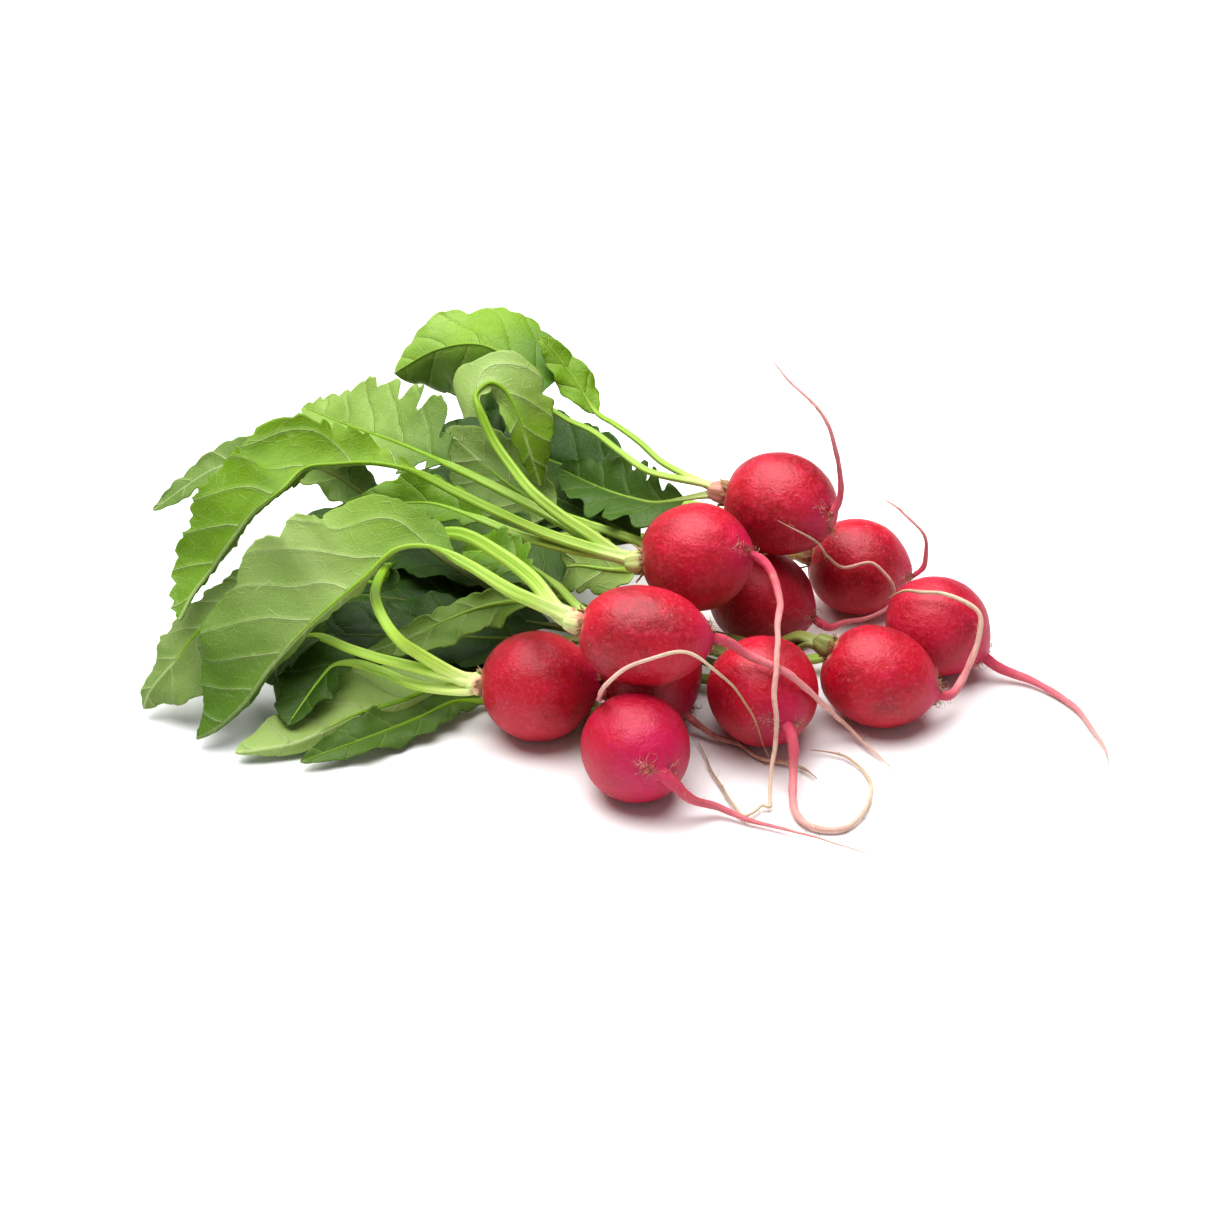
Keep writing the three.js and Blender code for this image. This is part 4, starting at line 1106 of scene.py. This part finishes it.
radish6 = {
    "centre": (-19.2, -23.2, 14.7), "radius": 15.1, "halfLength": 16,
    "axis": (0.99, -0.1, 0), "crown": (-1, 0.02, 0.02),
    # its stalks are painted brighter, as painted light where the leaves above shade them
    "thickness": (1.8, 0.86, 0.2, 1), "paling": 1.2, "stalk": 1.7, "paintedLight": 1.4,
    "taproot": [(-2, -24, 14), (-2, -44, 25), (0, -54, 37), (6, -53, 42), (13, -52, 44.5), (20, -51, 45),
        (27, -50, 40), (34, -46, 30), (39, -45, 20), (42, -43, 9), (44, -44, 5)],
    "leaves": [
        # these leaves lie deep in the bunch, and their low light tone is painted shade
        {"route": [(-53, -23, 21), (-62, -22, 23), (-70, -19, 24), (-81, -11, 23), (-89, -9, 19),
            (-96, -9, 13), (-100, -10, 7)],
         "bladeFrom": 0.6, "width": (14, 14), "face": (-0.2, -0.3, 0.9), "yellow": 0.3, "light": 0.05},
        {"route": [(-53, -23, 15), (-61, -20, 17), (-69, -18, 18.5), (-75, -18, 18), (-79, -21, 15),
            (-83, -26, 11.5), (-87, -33, 8.5)],
         "bladeFrom": 0.54, "width": (7.5, 13), "face": (-0.2, -0.3, 0.9), "fold": (5, 5), "light": 0.05},
        {"route": [(-51, -23, 25), (-56, -24, 30), (-60, -21, 34), (-63, -14, 37), (-63, -6, 37),
            (-61, 6, 35), (-62, 4, 31), (-69, 10, 27), (-80, 14, 22), (-92, 17, 16)],
         "bladeFrom": 0.58, "width": (12, 12), "face": (-0.1, -0.2, 1), "yellow": 0.3},
    ],
}
makeRadish(6, radish6)

radish7 = {
    "centre": (7.6, -51, 14.2), "radius": 14.6, "halfLength": 15.4,
    "axis": (0.4, -0.9, 0.14), "crown": (-0.4, 0.9, -0.14),
    "thickness": (2.9, 1.95, 0.14, 1.9), "paling": 0.4, "rosy": 0.7,
    "taproot": [(13, -64, 17), (17, -66, 14), (22, -65, 8), (29, -63, 3.5), (37, -66, 1.8), (46, -70, 1.6),
        (56, -74, 1.4), (66, -79, 1.3), (74, -82, 1.2)],
    "leaves": [
        {"route": [(-1, -34, 8), (-2, -21, 3.2), (-8, -10, 3), (-22, -10, 3), (-34, -14, 3), (-42, -17, 5),
            (-51, -24, 5), (-62, -31, 4.5), (-74, -38, 4), (-83, -43, 3.5)],
         "bladeFrom": 0.5, "width": (7, 8), "face": (0, -0.5, 0.9), "yellow": 0.3, "light": 0.2},
        # this leaf's full light tone is painted light, where the leaves above shade it
        {"route": [(-3, -33, 9), (-4.5, -21, 3.4), (-11, -10, 5), (-24, -8, 7), (-38, -12, 8),
            (-48, -17, 9), (-57, -23, 9), (-69, -28, 8), (-77, -32, 6), (-84, -36, 5), (-91, -38, 4.5),
            (-101, -39, 3.5)],
         "bladeFrom": 0.46, "width": (4, 17), "face": (0, -0.25, 0.95), "fold": (-60, 5), "taper": 0.12,
         "teeth": 0.5, "shows": "under", "yellow": 0.15, "light": 1},
    ],
}
makeRadish(7, radish7)

radish8 = {
    "centre": (42.6, -25.9, 14.8), "radius": 15.2, "halfLength": 15.8,
    "axis": (0.39, -0.92, -0.02), "crown": (-0.39, 0.92, 0.02),
    # its stalks are painted dark olive, partly old colour and partly painted shade deep in the bunch
    "thickness": (2.3, 1.5, 0.3, 1.3), "paling": 1, "oliveAndShade": 0.6,
    "taproot": [(48, -41, 15), (50, -46, 12), (50, -51, 6), (50, -61, 2), (52, -67, 1.8), (56, -70, 1.6),
        (62, -70, 1.5), (67, -65, 1.4), (70, -58, 1.3), (71, -50, 1.3), (69, -43, 1.3), (65, -38, 1.3),
        (60, -36, 1.3), (55, -35, 1.3)],
    "leaves": [
        {"route": [(31, -8, 7), (23, -3, 3.5), (12, 2, 3), (-4, 2, 3), (-24, 2, 3), (-48, 1, 3),
            (-74, 0, 3), (-98, 4, 3)],
         "bladeFrom": 0.46, "width": (13, 13), "face": (0, -0.1, 1), "fold": (6, 6)},
        {"route": [(30, -4, 14), (20, 1, 12), (4, 4, 11), (-20, 6, 10), (-46, 9, 9), (-72, 11, 8),
            (-96, 14, 6)],
         "bladeFrom": 0.42, "width": (15, 15), "face": (0, -0.2, 1), "fold": (8, 8)},
    ],
}
makeRadish(8, radish8)

radish9 = {
    "centre": (74.6, -17.5, 13.6), "radius": 14, "halfLength": 16.3,
    "axis": (0.93, -0.2, -0.25), "crown": (-0.86, 0.28, 0.42),
    # its stalks are painted dark olive, partly old colour and partly painted shade deep in the bunch
    "thickness": (2, 1.2, 0.38, 1), "paling": 1, "oliveAndShade": 0.8,
    "taproot": [(89, -21, 11), (94, -20, 9), (98, -14, 10), (101, -11, 15), (103, -8, 21), (103, -5, 26),
        (99, -3, 29), (93, -1, 30), (88, 0, 30), (83, 2, 29), (78, 4, 25)],
    "leaves": [
        {"route": [(53, -8, 17), (46, -5, 9), (34, -2, 6), (18, 8, 6), (0, 14, 6), (-22, 22, 5),
            (-48, 31, 5), (-74, 38, 4), (-98, 44, 3)],
         "bladeFrom": 0.5, "width": (15, 15), "face": (0, -0.1, 1), "fold": (6, 6)},
        {"route": [(53, -7, 20), (45, -3, 14), (33, 1, 14), (20, 6, 14), (4, 10, 15), (-20, 16, 14),
            (-42, 33, 16), (-62, 50, 22), (-81, 64, 29), (-101, 69, 31), (-115, 70, 27), (-134, 64, 16)],
         "bladeFrom": 0.62, "width": (9, 9), "face": (0, -0.3, 0.9), "shows": "under", "yellow": 0.1,
         "light": 0.35},
    ],
}
makeRadish(9, radish9)

radish10 = {
    "centre": (11.3, -15.6, 14.4), "radius": 14.8, "halfLength": 15,
    "axis": (0.68, -0.48, -0.54), "crown": (-0.68, 0.48, 0.54),
    "thickness": (1.5, 0.85, 0.35, 1), "paling": 0.75, "dull": 0.4,
    "taproot": [(21, -23, 6), (25, -26, 3.5), (30, -30, 2.2), (36, -33, 1.8), (42, -39, 1.5),
        (48, -41, 1.5), (53, -43, 1.5), (57, -48, 1.3)],
    "leaves": [
        {"route": [(-10, -4, 26), (-20, 2, 25), (-30, 6, 22), (-39, 4, 20.5), (-49, 0, 18), (-60, -4, 15),
            (-68, -6, 13)],
         "bladeFrom": 0.3, "width": (9, 5), "face": (0, -0.5, 0.8), "shows": "under", "yellow": 0.4,
         "light": 0.5},
        {"route": [(-8, 0, 25), (-14, 8, 27), (-22, 17, 28), (-34, 28, 28), (-48, 38, 27)],
         "bladeFrom": 0.3, "width": (13, 13), "face": (0.1, -0.4, 0.9), "yellow": 0.25, "light": 0.1},
    ],
}
makeRadish(10, radish10)

radish11 = {
    "centre": (92.6, 6.6, 13.9), "radius": 14.3, "halfLength": 14.8,
    "axis": (0.92, -0.2, -0.1), "crown": (-0.93, 0, -0.35),
    "thickness": (2.2, 1.4, 0.28, 1), "paling": 0.38, "rosy": 0.3,
    "taproot": [(105, 1, 8), (111, 0, 4), (119, -3, 2), (126, -9, 1.6), (131, -17, 1.5), (134, -26, 1.4),
        (136, -35, 1.3), (136, -42, 1.2)],
    "leaves": [
        {"route": [(68, 6, 6), (56, 3, 5), (44, 3, 4), (30, 9, 4), (16, 15, 5), (-4, 23, 8), (-26, 36, 11),
            (-50, 53, 11), (-72, 67, 9), (-90, 78, 6)],
         "bladeFrom": 0.55, "width": (17, 17), "face": (0, -0.1, 1), "fold": (6, 6)},
    ],
}
makeRadish(11, radish11)

# Floor, light and camera.

stage = {
    "floorSize": 6, "floorDrop": 0.00004, "floorColour": (0.88, 0.88, 0.88, 1),  # metres
    "skyColour": (1, 1, 1, 1), "skyStrength": 0.17, "exposure": 0.12, "gamma": 0.86,
}
lamps = {  # place in metres, size, watts
    "softboxAbove": ((-0.15, 0.18, 1.15), 1.5, 32),
    "softboxRight": ((0.9, -1.1, 0.75), 1.0, 0.8),
    "softboxLeft": ((-1.0, -1.1, 0.6), 1.0, 1.3),
    "softboxBack": ((-0.6, 1.2, 0.9), 0.8, 2),
}
lampAim = (0, 0, 0.03)
cameraSettings = {
    "target": (0, 0, 25), "distance": 936.7, "elevation": 34,  # mm and degrees
    "lens": 100, "sensor": 36, "near": 0.01, "far": 50,
}


def makeStage(s):
    deselect()
    bpy.ops.mesh.primitive_plane_add(size=s["floorSize"], location=(0, 0, -s["floorDrop"]))
    floor = bpy.context.object
    floor.name = "floor"
    look = Look("floorPaper", {"Base Color": s["floorColour"], "Roughness": 0.7, "Specular IOR Level": 0.2})
    floor.data.materials.append(look.material)
    world = bpy.data.worlds.new("paleRoom")
    world.use_nodes = True
    background = world.node_tree.nodes["Background"].inputs
    background["Color"].default_value = s["skyColour"]
    background["Strength"].default_value = s["skyStrength"]
    bpy.context.scene.world = world
    view = bpy.context.scene.view_settings
    view.view_transform, view.exposure, view.gamma = "Standard", s["exposure"], s["gamma"]


def makeLamp(name, place, size, power):
    bpy.ops.object.light_add(type="AREA", location=place)
    lamp = bpy.context.object
    lamp.name = name
    lamp.data.shape = "DISK"
    lamp.data.size, lamp.data.energy = size, power
    toward = np.array(lampAim) - np.array(place)
    tilt = math.atan2(math.hypot(toward[0], toward[1]), -toward[2])
    lamp.rotation_euler = (tilt, 0, math.atan2(-toward[0], toward[1]))


def makeCamera(s):
    e = math.radians(s["elevation"])
    place = np.array(s["target"]) - bunchMiddle + np.array([0, -math.cos(e), math.sin(e)]) * s["distance"]
    bpy.ops.object.camera_add(location=tuple(place * mm), rotation=(math.pi / 2 - e, 0, 0))
    camera = bpy.context.object
    camera.data.lens, camera.data.sensor_width = s["lens"], s["sensor"]
    camera.data.clip_start, camera.data.clip_end = s["near"], s["far"]
    bpy.context.scene.camera = camera


makeStage(stage)
for name, values in lamps.items():
    makeLamp(name, *values)
makeCamera(cameraSettings)
print("Stage, lamps and camera made")
